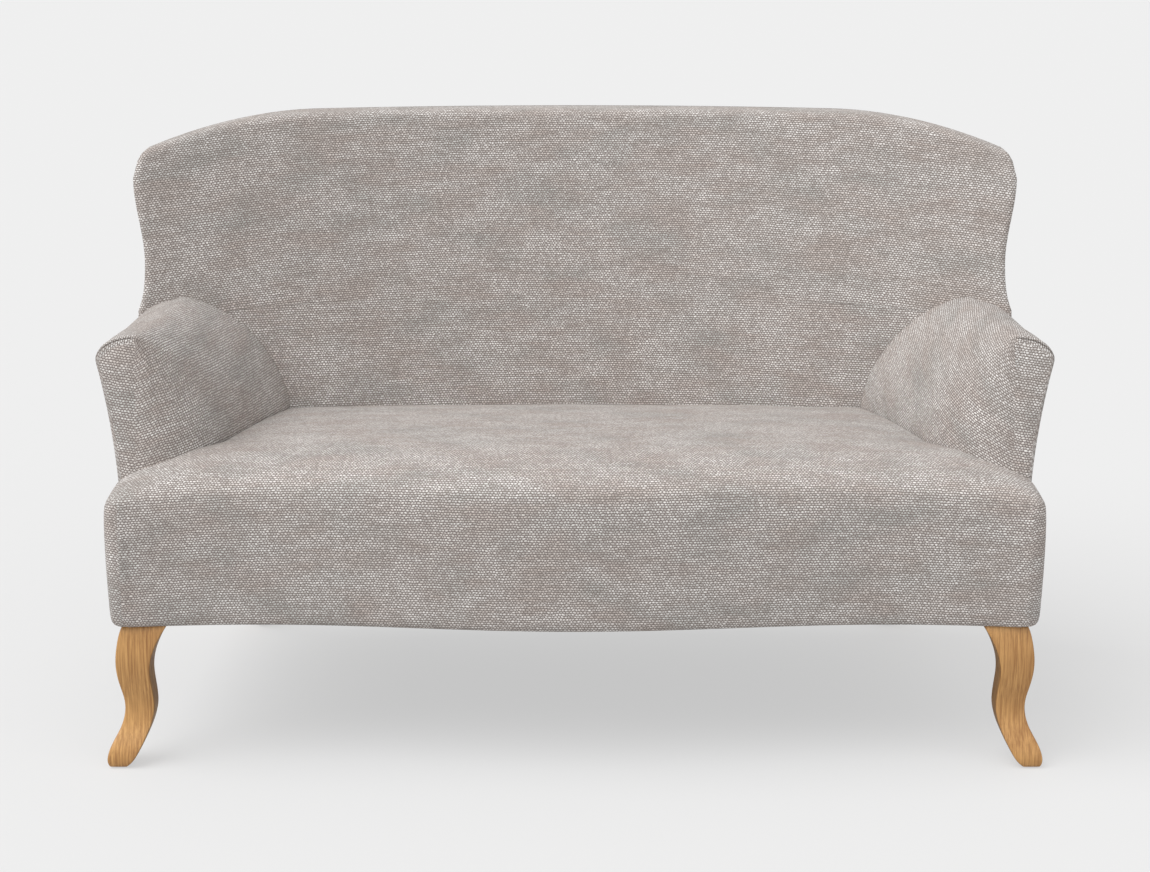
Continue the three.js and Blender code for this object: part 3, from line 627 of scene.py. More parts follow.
def shade(red: int, green: int, blue: int) -> tuple[float, float, float, float]:
    """A screen colour from 0 to 255 as a shader colour."""
    return (*[((c / 255 + 0.055) / 1.055) ** 2.4 if c > 10 else c / 3295 for c in (red, green, blue)], 1.0)


@dataclass(frozen=True)
class Cloudy:
    """A soft noise: its scale, detail and roughness, how it is drawn out and which of its values are used."""

    scale: float
    detail: float
    rough: float
    stretch: Triple | None = None
    used: Pair = (0.0, 1.0)

    def raw(self, bench: Bench, vector: object) -> Socket:
        """Place the noise, with values between about 0.3 and 0.7.

        Args:
            bench: where its nodes go.
            vector: the coordinate.

        Returns:
            The value's socket.
        """
        if self.stretch is not None:
            vector = bench.node("ShaderNodeMapping", None, Vector=vector, Scale=self.stretch).outputs[0]
        return bench.node("ShaderNodeTexNoise", None, Vector=vector, Scale=self.scale, Detail=self.detail,
                          Roughness=self.rough).outputs[0]

    def over(self, bench: Bench, vector: object) -> Socket:
        """The used values, stretched to 0 to 1."""
        return bench.span(self.raw(bench, vector), *self.used)


def new_group(name: str, takes: dict[str, str],
              gives: str) -> tuple[Bench, Sequence[Socket], Sequence[Socket]]:
    """Start a shader node group.

    Args:
        name: the group's name.
        takes: input names and the last word of their socket types.
        gives: names of the outputs, all of them numbers.

    Returns:
        A bench to work on the group, its inputs and its outputs.
    """
    group = bpy.data.node_groups.new(name, "ShaderNodeTree")
    for key, kind in takes.items():
        group.interface.new_socket(key, in_out="INPUT", socket_type=f"NodeSocket{kind}")
    for key in gives.split():
        group.interface.new_socket(key, in_out="OUTPUT", socket_type="NodeSocketFloat")
    bench = Bench(group)
    return bench, bench.node("NodeGroupInput").outputs, bench.node("NodeGroupOutput").inputs


@dataclass(frozen=True)
class Weave:
    """Chunky staggered weave. Its group gives thread tops, cloudy patches, slubs, tint and height."""

    wobble_scale: float = 90.0
    wobble: Triple = (0.005, 0.0024, 0.0)
    half: float = 0.5
    fall_across: float = 3.7
    fall_up: float = 4.2
    top_used: Pair = (0.12, 0.85)
    top_luck: Pair = (0.5, 1.14)
    cloud: Cloudy = Cloudy(17.0, 3.0, 0.55, (0.62, 1.15, 1.0))
    patch: Cloudy = Cloudy(60.0, 3.0, 0.6, (0.25, 1.6, 1.0))
    slub: Cloudy = Cloudy(130.0, 2.0, 0.5, (0.09, 2.6, 1.0))
    slub_used: Pair = (0.36, 0.64)
    tint: Cloudy = Cloudy(13.0, 2.0, 0.5, (0.55, 1.2, 1.0), (0.46, 0.62))
    cloud_share: float = 0.66
    patch_share: float = 0.34
    mottle_used: Pair = (0.425, 0.575)
    dome_height: float = 0.8
    slub_height: float = 0.5

    def group(self) -> NodeTree:
        """Build the node group.

        Returns:
            The group, which takes the cloth's place and a thread's width and height.
        """
        bench, takes, gives = new_group("chunky_weave", {"Cloth": "Vector", "Wide": "Float", "High": "Float"},
                                        "Top Cloud Slub Tint Height")
        cloth = takes["Cloth"]
        wobble = bench.node("ShaderNodeTexNoise", {"noise_dimensions": "2D"}, Vector=cloth,
                            Scale=self.wobble_scale, Detail=1.0)
        shifted = bench.node("ShaderNodeVectorMath", {"operation": "MULTIPLY_ADD"})
        for socket, value in zip(shifted.inputs, (wobble.outputs["Color"], self.wobble, cloth)):
            bench.feed(socket, value)
        apart = bench.node("ShaderNodeSeparateXYZ", None, Vector=shifted.outputs[0])
        up = bench.math("DIVIDE", apart.outputs["Y"], takes["High"])
        row = bench.math("FLOOR", up)
        stagger = bench.math("MULTIPLY", bench.math("FLOORED_MODULO", row, 2.0), self.half)
        across = bench.math("ADD", bench.math("DIVIDE", apart.outputs["X"], takes["Wide"]), stagger)
        column = bench.math("FLOOR", across)
        far = [bench.math("SUBTRACT", bench.math("FRACT", place), self.half) for place in (across, up)]
        square = [bench.math("MULTIPLY", place, place) for place in far]
        dome = bench.math("SUBTRACT", 1.0, bench.weigh(square[0], self.fall_across, square[1], self.fall_up))
        cell = bench.node("ShaderNodeCombineXYZ", None, X=column, Y=row, Z=0.0)
        chance = bench.node("ShaderNodeTexWhiteNoise", {"noise_dimensions": "2D"}, Vector=cell.outputs[0])
        cloud = self.cloud.raw(bench, cloth)
        patch = self.patch.raw(bench, cloth)
        slub = self.slub.raw(bench, cloth)
        mottle = bench.weigh(cloud, self.cloud_share, patch, self.patch_share)
        luck = bench.span(chance.outputs["Value"], 0.0, 1.0, *self.top_luck)
        bench.fill(gives, Top=bench.math("MULTIPLY", bench.span(dome, *self.top_used), luck),
                   Cloud=bench.span(mottle, *self.mottle_used), Slub=bench.span(slub, *self.slub_used),
                   Tint=self.tint.over(bench, cloth),
                   Height=bench.weigh(dome, self.dome_height, slub, self.slub_height))
        return bench.tree


@dataclass(frozen=True)
class Grain:
    """Straight lengthwise timber grain. Its group gives bands, pores and a slow drift of tone."""

    band: Cloudy = Cloudy(420.0, 3.0, 0.6, (1.0, 0.25, 0.022), (0.36, 0.66))
    pore: Cloudy = Cloudy(1500.0, 2.0, 0.5, (1.0, 0.3, 0.02), (0.56, 0.74))
    drift: Cloudy = Cloudy(22.0, 2.0, 0.5, (1.0, 1.0, 0.3), (0.35, 0.65))

    def group(self) -> NodeTree:
        """Build the node group.

        Returns:
            The group, which takes the place in the timber.
        """
        bench, takes, gives = new_group("timber_grain", {"Place": "Vector"}, "Band Pore Drift")
        place = takes["Place"]
        bench.fill(gives, Band=self.band.over(bench, place), Pore=self.pore.over(bench, place),
                   Drift=self.drift.over(bench, place))
        return bench.tree


def start_material(name: str) -> tuple[Material, Bench, bpy.types.Node]:
    """A new node material, its bench and its shader.

    Args:
        name: the material's name.

    Returns:
        The three of them.
    """
    material = bpy.data.materials.new(name)
    material.use_nodes = True
    tree = material.node_tree
    tree.nodes.clear()
    bench = Bench(tree)
    shader = bench.node("ShaderNodeBsdfPrincipled")
    bench.node("ShaderNodeOutputMaterial", None, Surface=shader.outputs[0])
    return material, bench, shader


def use_group(bench: Bench, tree: NodeTree, **inputs: object) -> Sequence[Socket]:
    """Place a node group, and return its outputs."""
    return bench.node("ShaderNodeGroup", {"node_tree": tree}, **inputs).outputs


def coat(bench: Bench, shader: bpy.types.Node, height: Socket, bump: Pair, **inputs: object) -> None:
    """Set a shader's inputs, with a bump.

    Args:
        bench: the material's bench.
        shader: the material's shader.
        height: what the bump follows.
        bump: the bump's strength, and its depth in metres.
        inputs: values or sockets for the shader, by name with _ for a space.
    """
    strength, depth = bump
    raised = bench.node("ShaderNodeBump", None, Strength=strength, Distance=depth, Height=height)
    bench.fill(shader.inputs, Normal=raised.outputs[0], **inputs)


@dataclass(frozen=True)
class CoverCloth:
    """Chunky taupe weave with pale thread tops, cloudy patches and painted shade in the seam grooves."""

    name: str = "cover_cloth"
    wide: float = 0.0047
    high: float = 0.00355
    turn: float = 0.0
    gap: Tone = (130, 121, 116)
    thread: Tone = (197, 186, 179)
    cool: Tone = (185, 185, 181)
    pale: Tone = (234, 231, 228)
    # Painted shade in the seam grooves: its dark tone, and how far the cloth goes toward it.
    seam_shade: Tone = (62, 54, 49)
    seam_shade_share: float = 0.85
    cloud_share: float = 0.62
    slub_share: float = 0.38
    bump: Pair = (0.7, 0.0009)
    rough: float = 0.92
    sheen: float = 0.08
    shine: float = 0.2

    def make(self, weave: NodeTree) -> Material:
        """Build the material on the pieces' own cloth map.

        Args:
            weave: the weave's node group.

        Returns:
            The material.
        """
        material, bench, shader = start_material(self.name)
        place = bench.node("ShaderNodeUVMap", {"uv_map": "cloth"})
        turned = bench.turned(place.outputs[0], (0, 0, self.turn))
        cloth = use_group(bench, weave, Cloth=turned, Wide=self.wide, High=self.high)
        bright = bench.weigh(cloth["Cloud"], self.cloud_share, cloth["Slub"], self.slub_share)
        threads = bench.blend(cloth["Tint"], shade(*self.thread), shade(*self.cool))
        tops = bench.blend(bright, threads, shade(*self.pale))
        colour = bench.blend(cloth["Top"], shade(*self.gap), tops)
        # Painted shade: the cloth darkens toward the seam shade tone by the mesh's share of each seam groove.
        sewn = bench.node("ShaderNodeAttribute", {"attribute_name": "seam_shade"}).outputs["Fac"]
        colour = bench.blend(bench.math("MULTIPLY", sewn, self.seam_shade_share), colour, shade(*self.seam_shade))
        coat(bench, shader, cloth["Height"], self.bump, Base_Color=colour, Roughness=self.rough,
             Sheen_Weight=self.sheen, Specular_IOR_Level=self.shine)
        return material


@dataclass(frozen=True)
class Timber:
    """Straight-grained timber with open pores, and painted shade that darkens its sideways-facing faces by
    the side shade.
    """

    name: str
    pale: Tone
    deep: Tone
    rough: float
    turn: Triple = (0.0, 0.0, 0.0)
    # Painted shade on faces turned sideways: how strong it is, and the span of facing over which it grows.
    side_shade: float = 0.0
    side_shade_facing: Pair = (0.8, 0.97)
    band_share: float = 0.65
    drift_share: float = 0.35
    pore_tone: float = 0.72
    pore_share: float = 0.35
    pore_rough: float = 0.15
    bump: Pair = (0.25, 0.0003)

    def make(self, grain: NodeTree) -> Material:
        """Build the material on Object coordinates.

        Args:
            grain: the grain's node group.

        Returns:
            The material.
        """
        material, bench, shader = start_material(self.name)
        place = bench.node("ShaderNodeTexCoord")
        wood = use_group(bench, grain, Place=bench.turned(place.outputs["Object"], self.turn))
        tone = bench.weigh(wood["Band"], self.band_share, wood["Drift"], self.drift_share)
        colour = bench.blend(tone, shade(*self.deep), shade(*self.pale))
        dark = shade(*(int(c * self.pore_tone) for c in self.deep))
        colour = bench.blend(bench.math("MULTIPLY", wood["Pore"], self.pore_share), colour, dark)
        # Painted shade: faces whose normal turns along x darken toward the pore tone.
        facing = bench.node("ShaderNodeSeparateXYZ", None, Vector=place.outputs["Normal"])
        side_shade_facing = bench.span(bench.math("ABSOLUTE", facing.outputs["X"]), *self.side_shade_facing)
        colour = bench.blend(bench.math("MULTIPLY", side_shade_facing, self.side_shade), colour, dark)
        rough = bench.span(wood["Pore"], 0.0, 1.0, self.rough, self.rough + self.pore_rough)
        coat(bench, shader, wood["Band"], self.bump, Base_Color=colour, Roughness=rough)
        return material


@dataclass(frozen=True)
class Plain:
    """A finish with a fine speckle, for the pieces inside and below."""

    name: str
    low: Tone
    high: Tone
    speck: float
    rough: float
    metallic: float = 0.0
    broader: float = 14.0
    fine_share: float = 0.6
    broad_share: float = 0.4
    tone_used: Pair = (0.38, 0.62)
    fine_used: Pair = (0.3, 0.7)
    rough_change: float = 0.08
    bump: Pair = (0.3, 0.0003)

    def make(self) -> Material:
        """Build the material on Object coordinates.

        Returns:
            The material.
        """
        material, bench, shader = start_material(self.name)
        place = bench.node("ShaderNodeTexCoord").outputs["Object"]
        fine = Cloudy(self.speck, 3.0, 0.6).raw(bench, place)
        broad = Cloudy(self.speck / self.broader, 2.0, 0.5).raw(bench, place)
        tone = bench.span(bench.weigh(fine, self.fine_share, broad, self.broad_share), *self.tone_used)
        colour = bench.blend(tone, shade(*self.low), shade(*self.high))
        smoother, rougher = self.rough - self.rough_change, self.rough + self.rough_change
        rough = bench.span(fine, *self.fine_used, smoother, rougher)
        coat(bench, shader, fine, self.bump, Base_Color=colour, Roughness=rough, Metallic=self.metallic)
        return material


class Finishes:
    """Every material of the settee, made once."""

    arm_turn: float = 0.16
    # The oak's side shade is painted shade on the legs' sideways faces.
    timbers: tuple[Timber, ...] = (
        Timber("oak", (204, 157, 97), (142, 96, 48), 0.42, side_shade=0.55),
        Timber("beech", (224, 190, 148), (190, 146, 102), 0.6, (0.0, math.pi / 2, 0.0)))
    plains: tuple[Plain, ...] = (
        Plain("foam", (222, 212, 184), (240, 233, 212), 900.0, 0.9),
        Plain("felt", (112, 98, 80), (160, 146, 124), 700.0, 0.95),
        Plain("lining", (196, 182, 150), (218, 206, 178), 1200.0, 0.9),
        Plain("webbing", (150, 126, 88), (196, 172, 130), 800.0, 0.9),
        Plain("dust_cloth", (34, 34, 35), (58, 58, 60), 900.0, 0.95),
        Plain("steel", (120, 122, 126), (160, 162, 166), 300.0, 0.35, 1.0),
        Plain("nylon", (44, 38, 34), (64, 57, 52), 500.0, 0.5))

    def __init__(self) -> None:
        """Make the shared groups and the materials, kept by the record's slots."""
        weave = Weave().group()
        grain = Grain().group()
        self.slots = {COVER: CoverCloth().make(weave)}
        self.arm_cover = CoverCloth(name="arm_cover_cloth", turn=self.arm_turn).make(weave)
        self.slots.update({timber.name: timber.make(grain) for timber in self.timbers})
        self.slots.update({plain.name: plain.make() for plain in self.plains})


def dress(piece: Piece, material: Material, slot: str, *nodes: str) -> Piece:
    """Finish a piece and fix it to the settee.

    Args:
        piece: the new object.
        material: its finish.
        slot: the record's material slot; not used.
        nodes: the frame's nodes that it stands for.

    Returns:
        The same object.
    """
    piece.data.materials.clear()
    piece.data.materials.append(material)
    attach(piece, BODY)
    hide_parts(*nodes)
    log.info("%s: %d faces", piece.name, len(piece.data.polygons))
    return piece


@dataclass
class SeatUpholstery:
    """The bowed seat with its soft crown, its square border and the ears before the arms."""

    core_half: float = 440.0
    core_steps: int = 56
    crown_steps: Numbers = (238.5, 190.0)
    inner_shares: Numbers = (1.0, 0.97, 0.94)
    rise_shares: Numbers = (0.0, 0.07, 0.14, 0.22, 0.3, 0.4, 0.5, 0.6, 0.7, 0.78, 0.85, 0.91)
    border_end: float = 58.0
    ear_rear: float = 72.0
    ear_round: float = 19.0
    ear_steps: int = 5
    side_backs: Numbers = (74, 77, 81, 86, 92, 99, 107, 116, 127, 140, 155, 177, *np.linspace(200, 520, 15))
    last_back: float = 472.0
    rear_gap: float = 6.0
    tuck: float = 3.0
    under_arm: float = 134.0
    foam_level: float = 339.0
    strip: float = 24.0
    droop: float = 3.2
    rim_inset: float = 3.5
    uneven: Unevenness = Unevenness(5, 1.4)
    ear_band: float = 72.6
    ear_inner: float = 645.0
    front_band: float = 4.5
    side_from: float = 650.0
    front_roll: float = 0.7
    hidden_roll: float = 0.2
    hidden_lift: float = 2.0
    lining_lift: float = 1.5
    roll: tuple[Pair, ...] = (
        (-1.7, 0.025), (-2.8, 0.07), (-3.7, 0.15), (-4.2, 0.27), (-4.2, 0.42), (-3.7, 0.58), (-2.9, 0.73),
        (-2.0, 0.86), (-1.2, 0.925), (0.2, 0.963), (2.8, 0.985), (6.6, 0.997), (12.6, 1.002))

    def edge(self) -> Array:
        """The seat's right-hand edge from front to rear, as places across and back.

        Returns:
            Points of the edge, two numbers each.
        """
        form = FORM
        r = form.corner_round
        front = float(form.seat_front(form.seat_half - r))
        path = [(form.seat_half - r + math.sqrt(max(r * r - max(r - back, 0.0) ** 2, 0.0)), front + back)
                for back in bell_steps(self.rise_shares, form.round_reach, form.round_power)
                if back < self.border_end]
        path += [(form.seat_half - self.ear_round * (1 - math.cos(turn)),
                  self.ear_rear - self.ear_round * (1 - math.sin(turn)))
                 for turn in np.linspace(0, math.pi / 2, self.ear_steps)]
        room = form.seat_half - self.ear_round - self.beside_arm(self.ear_rear)
        for back in self.side_backs:
            under = room * (1 - step(back, self.ear_rear, self.under_arm))
            across = self.beside_arm(back) + under
            if back < self.rear(across) - self.rear_gap:
                path.append((across, back))
        last = self.beside_arm(self.last_back)
        return np.array([*path, (last, self.rear(last))])

    def beside_arm(self, back: float) -> float:
        """Place across at which the seat slips under the arm's foot."""
        return FORM.arm_crown - float(FORM.arm_reach(back)) + self.tuck

    def rear(self, across: Array) -> Array:
        """Where the seat meets the inside back."""
        return FORM.back_face(across, FORM.face_level) + self.tuck

    def plan(self, inset: float) -> tuple[Array, Array]:
        """Lay the seat's grid, drawn in from its edge.

        Args:
            inset: how far in, in millimetres.

        Returns:
            Places across and back, by row and column.
        """
        form = FORM
        path = self.edge()
        shares = (*self.inner_shares, *self.rise_shares)
        steps = {*self.crown_steps, *bell_steps(shares, form.round_reach, form.round_power)}
        outer = 1.0 - np.array(sorted(steps, reverse=True)) / max(steps)
        core = np.linspace(-self.core_half, self.core_half, self.core_steps + 1)
        right = mix(self.core_half, path[:, :1] - inset, outer[None, 1:])
        x = np.concatenate([-right[:, ::-1], np.repeat(core[None, :], len(path), 0), right], 1)
        share = way(path[:, 1], form.seat_front(path[:, 0]), self.rear(path[:, 0]))[:, None]
        front = form.seat_front(x) + inset
        return x, front + (self.rear(x) - inset - front) * share

    def build(self) -> Piece:
        """Make the seat's closed form.

        Returns:
            The new object, in the scene.
        """
        form = FORM
        z = form.seat_top(*self.plan(0.0))
        x, y = self.plan(self.rim_inset)
        from_edge = np.minimum(y - form.seat_front(x), form.seat_half - np.abs(x))
        outer = np.stack([x, y, z + self.uneven.at(x, y, from_edge)], -1)
        low_x, low_y = self.plan(self.strip)
        inner = np.stack([low_x, low_y, np.full_like(low_x, self.foam_level)], -1)
        edge = rim(outer)
        normal = outward(edge[:, :2])
        aside = np.abs(edge[:, 0])
        shown = ((edge[:, 1] < self.ear_band) & (aside > self.ear_inner)) | (
            edge[:, 1] < form.seat_front(edge[:, 0]) + self.front_band)
        bottom = np.where(shown, form.leg_height - self.droop, self.foam_level + self.hidden_lift)
        full = np.where(shown, np.where(aside > self.side_from, 1.0, self.front_roll), self.hidden_roll)
        rings = []
        for inward, down in self.roll:
            ring = edge.copy()
            ring[:, :2] -= normal * (inward * full)[:, None]
            ring[:, 2] = mix(edge[:, 2], bottom, down)
            rings.append(ring)
        lining = rim(inner).copy()
        lining[:, 2] = bottom + self.lining_lift
        shell = Shell()
        shell.close(outer, [*rings, lining], inner, np.stack([x, lengths(outer[..., 1:])], -1))
        return shell.piece("seat_upholstery")


@dataclass
class BackUpholstery:
    """The raked inside back, which rolls over its arched top and its wings."""

    across_steps: int = 88
    round_steps: int = 9
    frame_depth: float = 51.0
    arm_level: float = 575.4
    stack: float = 40.5
    wall: float = 2.3
    side_fullness: float = 0.3
    side_fall: float = 0.04
    rear_gap: float = 1.6
    hidden_gap: float = 1.0
    lining_lift: float = 0.5
    post_from: Pair = (0.0, 0.3)
    uneven: Unevenness = Unevenness(11, 1.3, 110.0)
    wrap: tuple[Pair, ...] = ((0.7, 0.08), (1.4, 0.18), (1.6, 0.29), (1.1, 0.41), (-0.1, 0.54),
                              (-1.9, 0.67), (-4.2, 0.79), (-6.6, 0.9), (-8.4, 0.96), (-10.0, 1.0))
    levels: Numbers = (345, 380, 415, 450, 480, 510, 540, 562, 573, 574.9, 575.9, 584, 592, 598, 604,
                       612, 622, 634, 648, 662, 676, 690, 705, 720, 735, 750, 765, 780, 794, 806, 814)

    def grid(self, inset: float) -> tuple[Array, Array, Array, Array, Array]:
        """Lay the back's grid, drawn in from its edges.

        Args:
            inset: how far in, in millimetres.

        Returns:
            What back_grid of the form returns.
        """
        form = FORM
        near = np.array([form.back_round * (1 - math.cos(turn))
                         for turn in np.linspace(0, math.pi / 2, self.round_steps)])
        low, high = form.back_hem, form.back_corner_at
        scale = (high - low) / (form.back_height - low)
        levels = np.array([*self.levels, *high - scale * near[::-1]])[:, None]
        beside = near / form.back_half
        core = 1 - beside[-1]
        shares = mirrored(beside[:-1], np.linspace(-core, core, self.across_steps + 1))[None, :]
        half = form.back_half_at(levels) - np.where(levels < self.arm_level, self.frame_depth, 0.0) - inset
        return form.back_grid(shares, levels, half, low, inset, form.back_half)

    def build(self) -> Piece:
        """Make the back's closed form.

        Returns:
            The new object, in the scene.
        """
        form = FORM
        r = form.back_round
        x, z, from_side, from_top, _ = self.grid(0.0)
        y = form.back_face(x, z) + r * (1 - bell(from_side, r) * bell(from_top, r))
        y = y - self.uneven.at(x, z, np.minimum(from_side, from_top))
        outer = np.stack([x, y, z], -1)
        in_x, in_z, *_ = self.grid(self.wall)
        inner = np.stack([in_x, form.back_rear(in_x, in_z) - self.stack, in_z], -1)
        edge = rim(outer)
        normal = outward(edge[:, [0, 2]])
        normal[:, 1] = np.maximum(normal[:, 1], 0.0)
        shown = edge[:, 2] > self.arm_level
        gap = np.where(shown, self.rear_gap, self.stack + self.hidden_gap)
        rear = form.back_rear(edge[:, 0], edge[:, 2]) - gap
        post = np.sign(edge[:, 0]) * form.over_post(edge[:, 2])
        rings = []
        for out, along in self.wrap:
            ring = edge.copy()
            aside = self.side_fullness if out > 0 else self.side_fall
            push = np.where(shown, out, min(out, 0.0))[:, None]
            ring[:, [0, 2]] += normal * push * np.array([aside, 1.0])
            ring[:, 0] += post * step(along, *self.post_from)
            ring[:, 1] = mix(edge[:, 1], rear, along)
            rings.append(ring)
        lining = rim(inner).copy()
        lining[:, 1] = rear - self.lining_lift
        shell = Shell()
        shell.close(outer, [*rings, lining], inner, np.stack([x, lengths(outer[..., 1:])], -1))
        return shell.piece("inside_back_upholstery")


@dataclass
class ArmUpholstery:
    """One flared arm: a leaning front panel, a domed top and a sloping inner side."""

    side: Side
    edge_round: float = 6.0
    top_round: float = 9.0
    sink: float = 6.0
    sink_along: Pair = (40.0, 190.0)
    soft_front: float = 0.6
    soft_reach: float = 330.0
    soft_drop: float = 15.0
    soft_power: float = 0.3
    top_from: Pair = (560.0, 620.0)
    round_from: Pair = (585.0, 635.0)
    sewn_from: Pair = (626.0, 654.0)
    groove: Pair = (3.4, 1.1)
    groove_depth: float = 1.5
    swell: Pair = (11.0, 6.0)
    swell_height: float = 1.6
    panel_top: float = 575.4
    panel_front: float = 7.0
    panel_sink: float = 2.6
    frame_depth: float = 51.0
    tuck: float = 3.0
    guess: float = 360.0
    tries: int = 12
    rear_steps: int = 30
    front_steps: int = 14
    front_belly: float = 2.2
    belly_span: Pair = (0.05, 0.95)
    crown_rise: float = 0.12
    bulge_height: float = 1.0
    bulge_reach: float = 80.0
    bulge_seed: int = 21
    nose_shares: Numbers = (*(share / 100 for share in range(0, 91, 6)), 0.95, 1.0)
    seam_backs: Numbers = (0.8, 1.6, 2.3, 2.9, 3.4, 3.9, 4.5, 5.4, 6.6, 7.4, 8.4, 9.4, 10.4, 11.6, 13.2,
                           50.0, 52.0)
    levels: Numbers = (341, 360, 380, 400, 415, 430, 445, 460, 475, 490, 505, 520, 533, 545, 556, 566,
                       574.8, 575.8, 582, 588, 593, 598, 602.5, 606.5, 610, 613, 615.5, 617.6, 619.2,
                       620.5, 621.3, 621.8)

    def outline(self, back: Array, z: Array) -> tuple[tuple[Array, Array, Array], tuple[Array, Array, Array]]:
        """Both edges of a section: the outer face and the inner one.

        Args:
            back: distance back from the arm's front at each point.
            z: height at each point.

        Returns:
            Half-width, height and share of painted seam shade outside, and the same three inside.
        """
        form = FORM
        y = form.arm_front + back
        pinch = self.edge_round * (1 - bell(back, self.edge_round))
        outer = form.arm_outer(y + form.lean(z), z) - pinch
        soft = mix(self.soft_front, 1.0, way(back, 0.0, self.soft_reach))
        shoulder = form.arm_shoulder - self.soft_drop * soft
        power = 2.0 + self.soft_power * soft
        over = way(z, shoulder, form.arm_height)
        dome = (1 - over**power) ** (1 / power)
        outer = np.where(z > shoulder, form.arm_crown + (outer - form.arm_crown) * dome, outer)
        inner = form.arm_inner(y, z)
        return (outer, *self.edge_lift(outer, back, z)), (inner, *self.edge_lift(inner, back, z))

    def edge_lift(self, x: Array, back: Array, z: Array) -> tuple[Array, Array]:
        """How the top's rounded front edge and its seam move a point.

        Args:
            x: half-width of the point.
            back: distance back from the arm's front.
            z: height before the move.

        Returns:
            Height after the move, and the share of painted shade in the seam groove.
        """
        on_top = step(z, *self.top_from)
        drop = self.top_round * (1 - bell(back, self.top_round)) * step(x, *self.round_from)
        sewn = step(x, *self.sewn_from)
        groove = ridge(back, *self.groove) * sewn
        swell = self.swell_height * ridge(back, *self.swell) * sewn
        sink = self.sink * step(back, *self.sink_along) * sewn
        # The groove's share also goes out as the painted shade of the seam.
        return z + on_top * (swell - drop - sink - self.groove_depth * groove), on_top * groove

    def backs(self, face: int, z: Array) -> Array:
        """Distances back of every section: fixed ones first, then shares of the way to the inside back.

        Args:
            face: 0 for the arm's outer face and 1 for its inner one.
            z: the levels' heights.

        Returns:
            Distances by section and level.
        """
        form = FORM
        end = np.full_like(z, self.guess)
        for _ in range(self.tries):
            x = self.outline(end, z)[face][0]
            from_side = form.back_half_at(z) - x
            met = form.back_face(x, z) + form.back_round * (1 - bell(from_side, form.back_round))
            end = met + self.tuck - form.lean(z) - form.arm_front
        nose = bell_steps(self.nose_shares, form.arm_nose, form.round_power)
        head = np.repeat(np.array(sorted({*nose, *self.seam_backs}))[:, None], len(z), 1)
        shares = np.linspace(0, 1, self.rear_steps)[1:, None]
        return np.concatenate([head, mix(head[-1], end, shares)])

    def wall(self, face: int, z: Array) -> tuple[Array, Array]:
        """Lay the points of one long face of the arm.

        Args:
            face: 0 for the arm's outer face and 1 for its inner one.
            z: the levels' heights.

        Returns:
            The points by section and level, and their shares of painted seam shade.
        """
        back = self.backs(face, z)
        heights = np.repeat(z[None, :], len(back), 0)
        x, lifted, seam_shade = self.outline(back, heights)[face]
        if face == 0:
            hidden = np.where(back < self.frame_depth, self.panel_sink, self.frame_depth)
            depth = np.where(back < self.panel_front, 0.0, hidden)
            x = x - np.where(heights < self.panel_top, depth, 0.0)
        else:
            bulge = Unevenness(self.bulge_seed + self.side.value, self.bulge_height, self.bulge_reach)
            x = x - bulge.at(back, heights, back)
        return np.stack([x, FORM.arm_front + back + FORM.lean(heights), lifted], -1), seam_shade

    def build(self) -> Piece:
        """Make the arm's closed form.

        Returns:
            The new object, in the scene.
        """
        z = np.array(self.levels)
        # The seam shares that come with the points are painted shade for the seam grooves.
        outer, outer_seam_shade = self.wall(0, z)
        inner, inner_seam_shade = self.wall(1, z)
        crown = (outer[:, -1] + inner[:, -1]) / 2
        crown[:, 2] += self.crown_rise
        crown_seam_shade = (outer_seam_shade[:, -1] + inner_seam_shade[:, -1]) / 2
        across = np.linspace(0, 1, self.front_steps + 1)[1:-1]
        bottom = mix(outer[:, :1], inner[:, :1], across[None, ::-1, None])
        loop = np.concatenate([outer, crown[:, None], inner[:, ::-1], bottom], 1)
        seam_shade = np.concatenate([outer_seam_shade, crown_seam_shade[:, None], inner_seam_shade[:, ::-1],
                               np.zeros(bottom.shape[:2])], 1)
        shell = Shell()
        ids = shell.add(loop * self.side.flip, seam_shade)
        looped = np.concatenate([loop, loop[:, :1]], 1)
        around = lengths(looped.transpose(1, 0, 2)).T
        around -= around[:, len(z)][:, None]
        shell.skin(np.concatenate([ids, ids[:, :1]], 1),
                   np.stack([lengths(looped) * self.side.value, around], -1))
        for end, belly in ((0, self.front_belly), (-1, 0.0)):
            self.fill_end(shell, ids[end], outer[end], inner[end], crown[end], belly)
        return shell.piece(f"arm_upholstery_{self.side.word}")

    def fill_end(self, shell: Shell, ids: Array, outer: Array, inner: Array, crown: Array,
                 belly: float) -> None:
        """Close one end of the arm with a slightly full panel.

        Args:
            shell: where the panel goes.
            ids: the numbers of the end section's points.
            outer: the section's outer edge, from the bottom up.
            inner: its inner edge, from the bottom up.
            crown: its top point.
            belly: how far the panel stands out in its middle.
        """
        levels = len(outer)
        across = np.linspace(0, 1, self.front_steps + 1)[None, 1:-1, None]
        middle = mix(outer[:, None], inner[:, None], across)
        tall = np.sin(np.pi * np.linspace(*self.belly_span, levels))[:, None]
        middle[..., 1] -= belly * (np.sin(np.pi * across[..., 0]) * tall)
        left = ids[:levels]
        right = ids[levels + 1:2 * levels + 1][::-1]
        low = ids[2 * levels + 1:][::-1]
        made = shell.add(middle[1:] * self.side.flip)
        grid = np.concatenate([left[:, None], np.concatenate([low[None], made]), right[:, None]], 1)
        flip = self.side.flip[:2]
        flat = np.concatenate([outer[:, None], middle, inner[:, None]], 1)[..., [0, 2]] * flip
        shell.skin(grid, flat)
        shell.skin(np.stack([grid[-1], np.full(len(grid[-1]), ids[levels])]),
                   np.stack([flat[-1], np.repeat(crown[None, [0, 2]] * flip, len(flat[-1]), 0)]))


